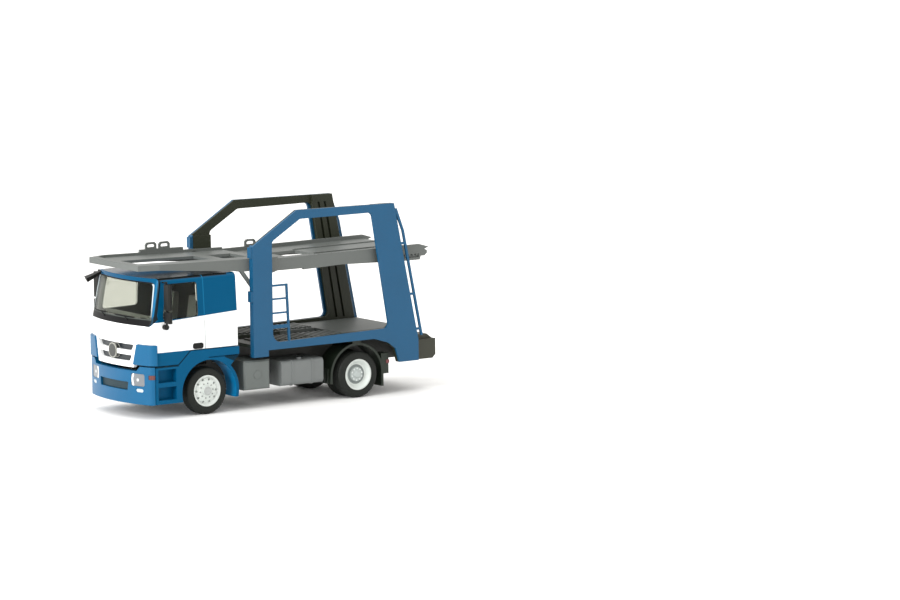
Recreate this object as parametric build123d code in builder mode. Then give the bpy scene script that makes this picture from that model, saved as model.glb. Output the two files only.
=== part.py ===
# Car transporter truck, a plastic collector's model in H0 scale (1:87).
# Two-axle chassis, forward-control cab, two-layer side frames and two fixed car decks.
# Millimetres, +X towards the cab, +Y to the truck's left, +Z up, origin on the
# ground under the middle of the model's box. Heights are measured from the ground.

import math
import os

from build123d import *

os.makedirs("parts", exist_ok=True)

# Overall sizes
frame_width = 29.0
wheelbase = 43.3
nose_reach = 18.3
rear_overhang = 23.0
snug = 0.04

# Wheels and axles
wheel_inset = 1.2
tyre_radius = 5.7
tyre_shoulder = 0.6
bead_radius = 3.8
front_tyre_width = 3.4
rear_tyre_width = 3.2
twin_gap = 0.5
twin_groove = 1.3
axle_radius = 0.6
bearing_play = 0.05
hub_radius = 1.1
hub_proud = 0.15
hub_edge = 0.2
front_dish = 0.35
rear_dish = 1.2
rear_hub_radius = 1.85
rear_hub_height = 0.45
rear_cap_radius = 0.9
rear_cap_height = 0.35
disc_thickness = 0.4
rim_lip = 0.35
rim_lip_recess = 0.1
rim_back_recess = 0.6
rim_hole_radius = 0.28
rim_hole_sides = 8
rim_hole_ring = 2.75
rim_hole_count = 10
rim_hole_depth = 0.9

# Chassis
rail_clearance = 1.8
rail_thickness = 1.2
rail_bottom_z = 7.6
rail_height = 3.2
rail_front_overhang = 16.5
cross_length = 1.6
bearing_length = 3.4
bearing_wall = 0.9
front_cross = (-12.6, 14.0)
rear_cross = (-17.3, -7.3, 7.7)
tail_cross = 1.8
cab_mounts = (-9.0, 6.0)

# Cab
cab_side_inset = 0.3
cab_behind_axle = 8.2
cab_wall = 0.7
cab_nose = 17.8
screen_lean = 2.4
cab_tumble = 0.8
roof_edge = 1.2
cab_bow = 2.5
cab_corner = 2.2
cab_foot_z = 12.9
cab_skirt = 1.4
cab_belt_z = 22.3
cab_roof_z = 33.6
sill_z = 16.0
shut_line = 0.2
shut_depth = 0.15
door_rear = 1.0
corner_top_z = 18.0
corner_return = 14.6
corner_proud = 0.55

# Front panel, its slots and the plain disc between them
panel_proud = 0.15
panel_head_inset = 3.8
panel_foot_inset = 6.3
panel_head_drop = 0.4
panel_foot_drop = 0.6
slot_rows = ((4.1, 6.1), (1.5, 6.8))
slot_height = 1.5
slot_slant = 0.8
slot_round = 0.3
grille_margin = 0.3
grille_thickness = 0.5
disc_radius = 1.8
disc_proud = 0.3

# Glazing
screen_foot_inset = 0.95
screen_head_inset = 1.8
screen_foot_rise = 0.1
screen_head_drop = 0.95
screen_round = 1.0
band_height = 1.75
band_side = 0.4
band_head = 0.3
glass_recess = 0.1
glass_thickness = 0.45
pane_recess = 0.25
pane_front_foot = 12.7
pane_front_head = 11.3
pane_rear = 2.8
pane_foot_rise = 1.5
pane_rear_rise = 1.7
pane_head_drop = 1.4
pane_round = 0.7

# Cab interior
seat_width = 6.0
seat_aisle = 3.4
inner_gap = 0.75
tray_rise = 0.6
tray_thickness = 0.8
tray_lip = 0.5
dash_ahead = 9.6
dash_inset = 1.2
wheel_tilt = 35
steering_radius = 2.4
steering_rim = 0.45
steering_hub = 0.5
steering_column = 1.4
steering_gap = 0.2
steering_rise = 0.9

# Front bumper, its lamps and recesses
bumper_bottom_z = 3.6
bumper_top_z = 12.7
bumper_dip_z = 11.5
bumper_dip_inset = 4.45
bumper_wall = 1.3
bumper_return = 15.0
lamp_depth = 0.55
lamp_recess = 0.05
lamp_round = 0.3
intake_recess = 0.5
marker_depth = 2.1

# Front mudguards and steps
seam = 0.15
seam_front = 8.4
seam_rear = 5.2
arch_radius = 7.6
fender_wall = 0.8
fender_width = 4.6
lip_height = 2.0
lip_reach = 0.4
lip_groove = 0.3
step_foot_z = 3.7
step_treads = (6.2, 10.4)
step_centre = 11.7
step_length = 5.0
step_height = 3.1
step_depth = 2.0

# Mirrors and handles
mirror_ahead = 12.3
mirror_foot_z = 21.9
mirror_gap = 0.5
mirror_width = 2.6
mirror_depth = 1.1
mirror_round = 0.35
mirror_glasses = ((1.3, 2.7), (4.5, 6.1))
arm_radius = 0.3
arm_height = 11.2
foot_radius = 0.65
handle_proud = 0.15
handle_length = 2.9
handle_height = 1.4
handle_ahead = 3.0
handle_rise = 0.9
handle_edge = 0.35

# Boxes and tanks
tank_inset = 1.0
tank_bottom_z = 4.8
tank_height = 6.1
tank_radius = 1.0
tank_gap = 2.6
box_tank_gap = 3.25
strap_inset = 3.15
strap_width = 0.45
strap_proud = 0.12
cap_radius = 0.6
cap_height = 0.4
cap_inset = 1.6
box_gap = 2.15
box_length = 7.4
box_bottom_z = 4.75
box_height = 7.05
box_edge = 0.4
mark_radius = 1.05
mark_proud = 0.12

# Rear mudguards and rear lamps
guard_inset = 1.8
guard_radius = 7.1
guard_wall = 0.6
guard_width = 5.6
guard_front_z = 3.9
guard_flap_z = 2.2
guard_strut = 2.4
guard_rib = 0.25
guard_rib_pitch = 1.2
guard_ribs = 4
guard_rib_rise = 1.8
carrier_length = 1.5
carrier_width = 3.0
carrier_bottom_z = 5.2
carrier_top_z = 10.2
lamp_length = 0.9
lamp_width = 1.4
lamp_height = 0.85
lamp_proud = 0.15
rear_lamp_z = 7.7

# Side frames
body_gap = 4.4
frame_skin = 0.6
flange_width = 0.4
flange_depth = 1.0
liner_thin = 0.5
liner_thickness = 1.1
liner_setback = 0.7
frame_foot_z = 12.6
frame_tail_z = 7.9
frame_rise = 11.5
roof_fall = 0.4
slope_drop = 7.9
slope_length = 12.8
tail_inset = 6.1
post_lean = 6.7
post_bend_z = 13.0
bar_bottom_z = 14.1
foot_length = 4.2
tail_foot = 11.25
arch_notch = ((10.2, 11.35), (8.1, 12.95), (4.0, 14.2))
opening_setback = 5.5
opening_slope_drop = 4.9
opening_slope_length = 8.1
opening_head = 2.2
opening_floor_z = 16.15
floor_tilt = 0.35
rear_post_head = 6.6
rear_post_foot = 8.6
opening_radius = 1.3
opening_foot_radius = 2.2
tab_rises = (13.4, 24.0)
tab_height = 2.6
tab_proud = 0.5
tab_width = 1.5
tab_inset = 0.9
groove_places = ((2.3, 2.4), (4.1, 4.6))
groove_width = 0.6
groove_depth = 0.5

# Ladders and grab rails
ladder_length = 4.35
ladder_rail = 0.5
ladder_height = 13.85
ladder_lean = 0.6
ladder_thickness = 0.5
ladder_rungs = ((13.6, 0.45), (10.35, 0.4), (6.95, 0.4), (3.65, 0.9))
rail_gap = 0.95
grab_width = 0.55
grab_head = 1.3
grab_root = 1.2
grab_bend = 6.9
grab_foot_rise = 1.0
grab_ties = (1.9, 10.6, 23.2)

# Upper deck
deck_rise = 3.3
deck_fall = 0.7
deck_step = 0.4
deck_recess = 0.6
rear_recess = 0.9
deck_plate = 0.7
deck_rail_width = 0.8
deck_gap_half = 4.0
deck_nose = 17.5
nose_taper = 1.7
nose_corner = 12.6
nose_depth = 1.4
nose_bar = 1.9
seam_behind = 2.7
runway_bridge = 2.8
gap_clear = 0.7
roof_gap = 0.15
rail_deep = 2.8
toe_length = 3.0
toe_drop = 0.9
hook_place = 4.6
hook_length = 1.0
hook_height = 0.8
hook_drop = 0.45
rear_rail_depth = 2.9
rail_rise = 0.3
rear_gap_place = 7.7
rear_gap_length = 8.0
fold_height = 0.25
fold_width = 0.5
fold_y = 4.6
sole_place = 7.4
sole_length = 11.0
sole_depth = 0.35
tail_gap = 1.7
tail_length = 2.6
tail_hook = ((0, 0.5), (1.2, 0.95), (0.45, 1.4), (0.45, 2.0), (1.2, 2.6), (2.3, 2.6))
tail_depth = 3.5
tail_tip = 1.2
tail_step = 0.2
tail_slot_length = 4.4
tail_slot_height = 0.9
tail_slot_depth = 0.4
tail_slot_drop = 2.4
tail_slot_margin = 0.3
tail_tooth = 0.4
tail_teeth = 4
strut_top = 2.0
strut_reach = 5.2
strut_drop = 6.9
strut_width = 1.0

# Lashing hoops, by their distance behind the front axle
hoop_block = (-2.6, 9.6)
hoop_block_height = 0.7
hoop_length = 3.1
hoop_height = 1.7
hoop_wire = 0.5
hoop_round = 0.5
hoop_places = (0.5, 4.3)
rear_hoop_place = 8.1

# Lower deck, rear beam and coupling
floor_top_z = 15.6
floor_plate = 0.8
floor_gap_half = 3.2
floor_start = 0.2
rib_start = 3.2
rib_stop = 18.8
rib_height = 0.35
rib_pitch = 1.5
rib_margin = 0.8
beam_length = 6.0
beam_bottom_z = 7.8
beam_top_z = 12.6
beam_edge = 0.9
beam_step_z = 13.8
beam_step_inset = 1.0
beam_slope = 1.9
beam_ledge = 0.3
coupling_inset = 11.3
coupling_plate = 1.0
coupling_plate_length = 3.4
coupling_radius = 0.7
coupling_length = 2.4

# Values that follow from the driving sizes
tail_reach = wheelbase + rear_overhang
front_axle_x = (tail_reach - nose_reach) / 2
rear_axle_x = front_axle_x - wheelbase
axle_z = tyre_radius
frame_y = frame_width / 2
cab_half_width = frame_y - cab_side_inset
wheel_face_y = frame_y - wheel_inset
front_back_y = wheel_face_y - front_tyre_width
rear_back_y = wheel_face_y - 2 * rear_tyre_width - twin_gap
rail_outer_y = rear_back_y - rail_clearance
rail_half_gap = rail_outer_y - rail_thickness
rail_top_z = rail_bottom_z + rail_height
tank_face_y = frame_y - tank_inset
guard_face_y = frame_y - guard_inset
liner_face_y = frame_y - frame_skin - liner_thickness
deck_edge_y = liner_face_y
cab_rear_x = front_axle_x - cab_behind_axle
screen_length = math.hypot(screen_lean, cab_roof_z - cab_belt_z)
beam_front = tail_reach - beam_length

box_front = cab_behind_axle + box_gap
box_rear = box_front + box_length
tank_front = box_rear + box_tank_gap
tank_rear = wheelbase - guard_radius - guard_wall - tank_gap

deck_nose_top_z = cab_roof_z + deck_rise
deck_seam_top_z = deck_nose_top_z - deck_fall
deck_rear_top_z = deck_seam_top_z - deck_step
rail_deep_z = deck_seam_top_z - rail_deep

frame_front = cab_behind_axle + body_gap
frame_rear = tail_reach - tail_inset
frame_roof_z = deck_rear_top_z + frame_rise
frame_front_z = frame_roof_z - slope_drop
roof_rear = frame_rear - post_lean
roof_rear_z = frame_roof_z - roof_fall
opening_front = frame_front + opening_setback
opening_roof_z = frame_roof_z - opening_head
opening_rear_head = roof_rear - rear_post_head
opening_rear_foot = frame_rear - rear_post_foot

deck_seam = opening_front + seam_behind
deck_tail = tail_reach - tail_gap
tail_bend = deck_tail - tail_length
floor_front = frame_front + floor_start
ribs_front = floor_front + rib_start
ribs_rear = beam_front - rib_stop


def station(behind):
    """X of a point this far behind the front axle."""
    return front_axle_x - behind


def stations(points):
    """Turn (distance behind the front axle, height) pairs into X, Z points."""
    return [(station(behind), height) for behind, height in points]


def side_plane(y):
    """Upright lengthwise plane at this Y, so that extruding goes towards -Y."""
    return Plane.XZ.offset(-y)


def export(piece, name):
    """Label a finished piece and write it to its own file."""
    piece.part.label = name
    export_step(piece.part, f"parts/{name}.step")


# Chassis: ladder frame with cross members and a bearing block at each axle
rail_rear_x = station(beam_front)
rail_front_x = front_axle_x + rail_front_overhang
rail_length = rail_front_x - rail_rear_x
cross_members = (
    *front_cross,
    *[wheelbase + behind for behind in rear_cross],
    beam_front - tail_cross,
)

with BuildPart() as chassis:
    with BuildSketch(Plane.XY.offset(rail_bottom_z)):
        with Locations((rail_front_x - rail_length / 2, 0)):
            Rectangle(rail_length, 2 * rail_outer_y)
            Rectangle(rail_length, 2 * rail_half_gap, mode=Mode.SUBTRACT)
        for behind in cross_members:
            with Locations((station(behind), 0)):
                Rectangle(cross_length, 2 * rail_half_gap + snug)
    extrude(amount=rail_height)
    for axle_x in (front_axle_x, rear_axle_x):
        block_bottom = axle_z - axle_radius - bearing_wall
        with BuildSketch(Plane.XY.offset(block_bottom)):
            with Locations((axle_x, 0)):
                Rectangle(bearing_length, 2 * rail_outer_y)
        extrude(amount=rail_bottom_z - block_bottom)
    for behind in cab_mounts:
        with BuildSketch(Plane.XY.offset(rail_top_z)):
            with Locations((station(behind), 0)):
                Rectangle(cross_length, 2 * rail_outer_y)
        extrude(amount=cab_foot_z - rail_top_z)
    for axle_x in (front_axle_x, rear_axle_x):
        with Locations(Location((axle_x, 0, axle_z), (90, 0, 0))):
            Cylinder(axle_radius + bearing_play, 2 * rail_outer_y + 2 * snug, mode=Mode.SUBTRACT)
export(chassis, "chassis")


# Wheels: profiles are drawn as (radius, Y) in the level plane through the axle
def wheel_pair(corners, axle_x):
    """Spin a section, given as (radius, Y) corners, into a left and a right wheel."""
    with BuildPart() as pair:
        for side in (1, -1):
            with BuildSketch(Plane(origin=(axle_x, 0, axle_z))):
                Polygon(*[(radius, side * y) for radius, y in corners][::side], align=None)
            revolve(axis=Axis((axle_x, 0, axle_z), (0, 1, 0)))
    return pair.part


def tyre_section(back_y, face_y):
    """Section of one tyre: bead, wall, bevelled shoulder, tread, and back to the bead."""
    return (
        (bead_radius, back_y),
        (tyre_radius - tyre_shoulder, back_y),
        (tyre_radius, back_y + tyre_shoulder),
        (tyre_radius, face_y - tyre_shoulder),
        (tyre_radius - tyre_shoulder, face_y),
        (bead_radius, face_y),
    )


with BuildPart() as front_tyres:
    add(wheel_pair(tyre_section(front_back_y, wheel_face_y), front_axle_x))
export(front_tyres, "front_tyres")

inner_face_y = rear_back_y + rear_tyre_width
outer_back_y = inner_face_y + twin_gap
with BuildPart() as rear_tyres:
    twin_section = (
        *tyre_section(rear_back_y, inner_face_y)[:-2],
        (tyre_radius - twin_groove, (inner_face_y + outer_back_y) / 2),
        *tyre_section(outer_back_y, wheel_face_y)[2:],
    )
    add(wheel_pair(twin_section, rear_axle_x))
export(rear_tyres, "rear_tyres")

rim_radius = bead_radius - snug / 2
bore_radius = axle_radius + snug / 2
rim_lip_y = wheel_face_y - rim_lip_recess
front_disc_y = wheel_face_y - front_dish
rear_disc_y = wheel_face_y - rear_dish
front_hub_y = wheel_face_y + hub_proud
rear_hub_y = rear_disc_y + rear_hub_height
rear_cap_y = rear_hub_y + rear_cap_height

front_rim_corners = (
    (bore_radius, front_back_y + rim_back_recess),
    (rim_radius, front_back_y + rim_back_recess),
    (rim_radius, rim_lip_y),
    (rim_radius - rim_lip, rim_lip_y),
    (rim_radius - 2 * rim_lip, front_disc_y - rim_lip),
    (hub_radius + 2 * rim_lip, front_disc_y),
    (hub_radius, front_disc_y),
    (hub_radius, front_hub_y - hub_edge),
    (hub_radius - hub_edge, front_hub_y),
    (0, front_hub_y),
    (0, front_disc_y - disc_thickness),
    (bore_radius, front_disc_y - disc_thickness),
)
with BuildPart() as front_rims:
    add(wheel_pair(front_rim_corners, front_axle_x))
    for side in (1, -1):
        with BuildSketch(side_plane(side * front_disc_y)):
            with Locations((front_axle_x, axle_z)):
                with PolarLocations(rim_hole_ring, rim_hole_count):
                    RegularPolygon(rim_hole_radius, rim_hole_sides)
        extrude(amount=side * rim_hole_depth, mode=Mode.SUBTRACT)
export(front_rims, "front_rims")

rear_rim_corners = (
    (bore_radius, rear_back_y + rim_back_recess),
    (rim_radius, rear_back_y + rim_back_recess),
    (rim_radius, rim_lip_y),
    (rim_radius - rim_lip, rim_lip_y),
    (rim_radius - 3 * rim_lip, rear_disc_y),
    (rear_hub_radius, rear_disc_y),
    (rear_hub_radius - hub_edge, rear_hub_y),
    (rear_cap_radius, rear_hub_y),
    (rear_cap_radius - hub_edge, rear_cap_y),
    (0, rear_cap_y),
    (0, rear_disc_y - disc_thickness),
    (bore_radius, rear_disc_y - disc_thickness),
)
with BuildPart() as rear_rims:
    add(wheel_pair(rear_rim_corners, rear_axle_x))
export(rear_rims, "rear_rims")

for axle_name, axle_x, disc_y in (
    ("front_axle_rod", front_axle_x, front_disc_y),
    ("rear_axle_rod", rear_axle_x, rear_disc_y),
):
    with BuildPart() as axle_rod:
        with BuildSketch(side_plane(0)):
            with Locations((axle_x, axle_z)):
                Circle(axle_radius)
        extrude(amount=disc_y - disc_thickness, both=True)
    export(axle_rod, axle_name)


# Cab: one form gives the shell, the glazing and the separate front panels
def plan_outline(nose, half_width, rear_x, inset):
    """Plan of the cab front: straight sides, bowed nose and rounded front corners."""
    side = half_width - inset
    front_x = front_axle_x + nose - inset
    with BuildSketch() as plan:
        with BuildLine():
            Polyline(
                (front_x - cab_bow, side),
                (rear_x + inset, side),
                (rear_x + inset, -side),
                (front_x - cab_bow, -side),
            )
            ThreePointArc((front_x - cab_bow, -side), (front_x, 0), (front_x - cab_bow, side))
        make_face()
        fillet(plan.vertices().group_by(Axis.X)[-1], radius=cab_corner - min(inset, cab_corner / 2))
    return plan.sketch


def cab_front_view(inset):
    """Cab seen from the front: upright to the belt, then leaning in to a rounded roof edge."""
    side = cab_half_width - inset
    eave = side - cab_tumble
    roof_z = cab_roof_z - inset
    foot_z = cab_foot_z - cab_skirt - inset
    with BuildSketch() as view:
        Polygon(
            (-side, foot_z),
            (side, foot_z),
            (side, cab_belt_z),
            (eave, roof_z),
            (-eave, roof_z),
            (-side, cab_belt_z),
            align=None,
        )
        fillet(view.vertices().group_by(Axis.Y)[-1], radius=roof_edge - inset / 2)
    return view.sketch


def cab_form(inset):
    """Solid of the cab's outer form, moved inwards by the inset."""
    foot_z = cab_foot_z - cab_skirt - inset
    plan = plan_outline(cab_nose, cab_half_width, cab_rear_x, inset)
    with BuildPart() as form:
        with BuildSketch(Plane.XY.offset(foot_z)):
            add(plan)
        extrude(amount=cab_belt_z - foot_z)
        with BuildSketch(Plane.XY.offset(cab_belt_z)):
            add(plan)
        extrude(amount=screen_length, dir=(-screen_lean, 0, cab_roof_z - cab_belt_z))
        with BuildSketch(Plane.YZ.offset(cab_rear_x + inset)):
            add(cab_front_view(inset))
        extrude(amount=cab_behind_axle + nose_reach + corner_proud, mode=Mode.INTERSECT)
    return form.part


# Outlines on the cab, drawn from the front (Y, Z) and from the side (X, Z)
def front_panel_outline(margin):
    """Grille panel seen from the front, narrower at its foot."""
    head_half = cab_half_width - panel_head_inset + margin
    foot_half = cab_half_width - panel_foot_inset + margin
    head_z = cab_belt_z - panel_head_drop + margin
    foot_z = cab_foot_z - panel_foot_drop - margin
    Polygon((-head_half, head_z), (head_half, head_z), (foot_half, foot_z), (-foot_half, foot_z), align=None)


def screen_outline(border_foot, border_side, border_head):
    """Windscreen seen from the front, narrower at its head, moved inwards by its three borders."""
    foot_half = cab_half_width - screen_foot_inset - border_side
    head_half = cab_half_width - screen_head_inset - border_side
    foot_z = cab_belt_z + screen_foot_rise + border_foot
    head_z = cab_roof_z - screen_head_drop - border_head
    with BuildSketch(mode=Mode.PRIVATE) as screen:
        Polygon(
            (-foot_half, foot_z),
            (foot_half, foot_z),
            (head_half, head_z),
            (-head_half, head_z),
            align=None,
        )
        fillet(screen.vertices(), radius=screen_round)
    add(screen.sketch)


def door_window_outline(margin):
    """Door window seen from the side, its front edge leaning with the windscreen."""
    with BuildSketch(mode=Mode.PRIVATE) as pane:
        Polygon(
            *stations((
                (-pane_front_foot - margin, cab_belt_z + pane_foot_rise - margin),
                (-pane_front_head - margin, cab_roof_z - pane_head_drop + margin),
                (-pane_rear + margin, cab_roof_z - pane_head_drop + margin),
                (-pane_rear + margin, cab_belt_z + pane_rear_rise - margin),
            )),
            align=None,
        )
        fillet(pane.vertices(), radius=pane_round)
    add(pane.sketch)


front_plane = Plane.YZ.offset(front_axle_x + seam_front)
front_reach = nose_reach

with BuildPart() as cab_shell:
    add(cab_form(0))
    add(cab_form(cab_wall), mode=Mode.SUBTRACT)
    with BuildSketch(side_plane(0)):
        with BuildLine():
            Polyline(
                *stations((
                    (-nose_reach, 0),
                    (-nose_reach, cab_foot_z),
                    (-seam_front, cab_foot_z),
                    (-seam_rear, sill_z),
                    (cab_behind_axle + cab_wall, sill_z),
                    (cab_behind_axle + cab_wall, 0),
                )),
                close=True,
            )
        make_face()
    extrude(amount=frame_y, both=True, mode=Mode.SUBTRACT)
    with BuildSketch(front_plane):
        front_panel_outline(snug)
        screen_outline(-snug, -snug, -snug)
    extrude(amount=front_reach, mode=Mode.SUBTRACT)
    with BuildSketch(side_plane(0)):
        door_window_outline(snug)
    extrude(amount=frame_y, both=True, mode=Mode.SUBTRACT)
    with BuildSketch(Plane.XY):
        with Locations((station(-corner_return) + nose_reach / 2, 0)):
            Rectangle(nose_reach, frame_width)
    extrude(amount=corner_top_z, mode=Mode.SUBTRACT)
    with BuildSketch(Plane.XY.offset(sill_z)):
        with Locations((station(-door_rear), 0)):
            Rectangle(shut_line, 2 * cab_half_width)
            Rectangle(shut_line, 2 * (cab_half_width - shut_depth), mode=Mode.SUBTRACT)
    extrude(amount=cab_roof_z - pane_head_drop - sill_z, mode=Mode.SUBTRACT)
export(cab_shell, "cab_shell")

# Columns of slot_rows: height above the cab's foot, inset of the slot's end from the cab's side
with BuildPart() as front_panel:
    add(cab_form(-panel_proud))
    add(cab_form(cab_wall), mode=Mode.SUBTRACT)
    with BuildSketch(front_plane):
        front_panel_outline(0)
    extrude(amount=front_reach, mode=Mode.INTERSECT)
    with BuildSketch(front_plane):
        for slot_rise, slot_inset in slot_rows:
            slot_z = cab_foot_z + slot_rise
            slot_half = cab_half_width - slot_inset
            with BuildSketch(mode=Mode.PRIVATE) as slot:
                Polygon(
                    (-slot_half, slot_z + slot_height / 2),
                    (slot_half, slot_z + slot_height / 2),
                    (slot_half - slot_slant, slot_z - slot_height / 2),
                    (-slot_half + slot_slant, slot_z - slot_height / 2),
                    align=None,
                )
                chamfer(slot.vertices(), length=slot_round)
            add(slot.sketch)
    extrude(amount=front_reach, mode=Mode.SUBTRACT)
export(front_panel, "front_panel")

slot_heights = [rise for rise, inset in slot_rows]
grille_z = cab_foot_z + sum(slot_heights) / len(slot_heights)
grille_height = max(slot_heights) - min(slot_heights) + slot_height + 2 * grille_margin
grille_half = cab_half_width - min(inset for rise, inset in slot_rows) + grille_margin
with BuildPart() as grille:
    add(cab_form(cab_wall + snug))
    add(cab_form(cab_wall + snug + grille_thickness), mode=Mode.SUBTRACT)
    with BuildSketch(front_plane):
        with Locations((0, grille_z)):
            Rectangle(2 * grille_half, grille_height)
    extrude(amount=front_reach, mode=Mode.INTERSECT)
    with BuildPart(mode=Mode.PRIVATE) as plain_disc:
        add(cab_form(-panel_proud - disc_proud))
        add(cab_form(-panel_proud - snug), mode=Mode.SUBTRACT)
        with BuildSketch(front_plane):
            with Locations((0, grille_z)):
                Circle(disc_radius)
        extrude(amount=front_reach, mode=Mode.INTERSECT)
    add(plain_disc.part)
export(grille, "grille")

with BuildPart() as corner_panels:
    add(cab_form(-corner_proud))
    add(cab_form(cab_wall), mode=Mode.SUBTRACT)
    with BuildSketch(Plane.XY.offset(cab_foot_z + seam)):
        with Locations((station(-corner_return - snug) + nose_reach / 2, 0)):
            Rectangle(nose_reach, frame_width + 2 * corner_proud)
    extrude(amount=corner_top_z - snug - cab_foot_z - seam, mode=Mode.INTERSECT)
    with BuildSketch(front_plane):
        front_panel_outline(snug)
    extrude(amount=front_reach, mode=Mode.SUBTRACT)
export(corner_panels, "corner_panels")

# Windscreen with its black surround: a broad band along the foot, narrow up the sides and over the head
with BuildPart() as windscreen_frame:
    add(cab_form(0))
    add(cab_form(cab_wall), mode=Mode.SUBTRACT)
    with BuildSketch(front_plane):
        screen_outline(0, 0, 0)
    extrude(amount=front_reach, mode=Mode.INTERSECT)
    with BuildSketch(front_plane):
        screen_outline(band_height - snug, band_side - snug, band_head - snug)
    extrude(amount=front_reach, mode=Mode.SUBTRACT)
export(windscreen_frame, "windscreen_frame")

with BuildPart() as windscreen:
    add(cab_form(glass_recess))
    add(cab_form(glass_recess + glass_thickness), mode=Mode.SUBTRACT)
    with BuildSketch(front_plane):
        screen_outline(band_height, band_side, band_head)
    extrude(amount=front_reach, mode=Mode.INTERSECT)
export(windscreen, "windscreen")

with BuildPart() as door_windows:
    add(cab_form(pane_recess))
    add(cab_form(pane_recess + glass_thickness), mode=Mode.SUBTRACT)
    with BuildSketch(side_plane(0)):
        door_window_outline(0)
    extrude(amount=frame_y, both=True, mode=Mode.INTERSECT)
export(door_windows, "door_windows")

# Cab interior: floor tray, dashboard, two seats and the steering wheel
seat_y = seat_aisle + seat_width / 2
inner_half = cab_half_width - cab_wall - inner_gap
tray_z = sill_z + tray_rise
pedestal_length = 2 * (cab_behind_axle - door_rear - cab_wall - snug)
tray_rear = cab_behind_axle - cab_wall - snug
tray_front = -dash_ahead - tray_lip
# Columns: distance behind the front axle, height
seat_corners = (
    (-4.4, tray_z + tray_thickness - snug),
    (-5.2, tray_z + 4.0),
    (0.2, tray_z + 3.6),
    (1.4, tray_z + 11.0),
    (2.8, tray_z + 11.0),
    (1.8, tray_z + tray_thickness - snug),
)
dash_corners = (
    (-dash_ahead, tray_z + tray_thickness),
    (-dash_ahead - 0.8, tray_z + tray_thickness),
    (-dash_ahead - 3.6, cab_belt_z + 1.2),
    (-dash_ahead - 2.8, cab_belt_z + 1.9),
    (-dash_ahead, cab_belt_z + 0.6),
)
with BuildPart() as cab_interior:
    with BuildSketch(Plane.XY.offset(cab_foot_z)):
        with Locations((station(door_rear), 0)):
            Rectangle(pedestal_length, 2 * rail_outer_y)
    extrude(amount=tray_z - cab_foot_z)
    with BuildSketch(Plane.XY.offset(tray_z)):
        with Locations((station((tray_front + tray_rear) / 2), 0)):
            Rectangle(tray_rear - tray_front, 2 * inner_half)
    extrude(amount=tray_thickness)
    with BuildSketch(side_plane(inner_half - dash_inset)):
        Polygon(*stations(dash_corners), align=None)
    extrude(amount=2 * (inner_half - dash_inset))
    for centre_y in (seat_y, -seat_y):
        with BuildSketch(side_plane(centre_y + seat_width / 2)):
            Polygon(*stations(seat_corners), align=None)
        extrude(amount=seat_width)
export(cab_interior, "cab_interior")

with BuildPart() as steering_wheel:
    wheel_seat = Plane(
        origin=(station(steering_gap - dash_ahead), seat_y, cab_belt_z + steering_rise),
        x_dir=(0, 1, 0),
        z_dir=(-math.sin(math.radians(wheel_tilt)), 0, math.cos(math.radians(wheel_tilt))),
    )
    with BuildSketch(wheel_seat):
        Circle(steering_hub)
    extrude(amount=steering_column)
    with BuildSketch(wheel_seat.offset(steering_column - steering_rim)):
        Circle(steering_radius)
        Circle(steering_radius - steering_rim, mode=Mode.SUBTRACT)
        Rectangle(2 * steering_radius - steering_rim, steering_hub)
    extrude(amount=steering_rim)
export(steering_wheel, "steering_wheel")


# Front bumper with its lamp and intake recesses
def bumper_form(inset):
    """Bumper's plan pulled straight up, moved inwards by the inset."""
    with BuildPart() as form:
        with BuildSketch(Plane.XY.offset(bumper_bottom_z)):
            add(plan_outline(nose_reach, cab_half_width, station(0), inset))
        extrude(amount=bumper_top_z - bumper_bottom_z)
    return form.part


# Columns: inset of the centre from the cab's side, height above the bumper's foot, width, height
lamp_boxes = ((4.65, 5.85, 4.3, 2.9), (4.0, 3.35, 2.2, 0.8))
# Columns: inset of the ends from the cab's side, height above the bumper's foot, height
intake_inset, intake_rise, intake_height = 7.9, 4.1, 1.9
# Columns: distance ahead of the bumper's return, height above the bumper's foot, width, height
marker_ahead, marker_rise, marker_length, marker_height = 0.6, 6.65, 1.1, 1.0


def lamp_outlines(margin):
    """Headlamps and fog lamps on both sides, seen from the front."""
    for inset, rise, width, height in lamp_boxes:
        lamp_y = cab_half_width - inset
        lamp_z = bumper_bottom_z + rise
        with BuildSketch(mode=Mode.PRIVATE) as lamps:
            with Locations((lamp_y, lamp_z), (-lamp_y, lamp_z)):
                Rectangle(width + 2 * margin, height + 2 * margin)
            chamfer(lamps.vertices(), length=lamp_round)
        add(lamps.sketch)


def intake_outline(margin):
    """Air intake, wider at its head."""
    half = cab_half_width - intake_inset + margin
    low_z = bumper_bottom_z + intake_rise - intake_height / 2 - margin
    high_z = bumper_bottom_z + intake_rise + intake_height / 2 + margin
    Polygon(
        (-half, high_z),
        (half, high_z),
        (half - lamp_round, low_z),
        (-half + lamp_round, low_z),
        align=None,
    )


marker_place = (station(-bumper_return - marker_ahead), bumper_bottom_z + marker_rise)
dip_half = cab_half_width - bumper_dip_inset
dip_slant = (bumper_top_z - bumper_dip_z) / 2

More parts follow.
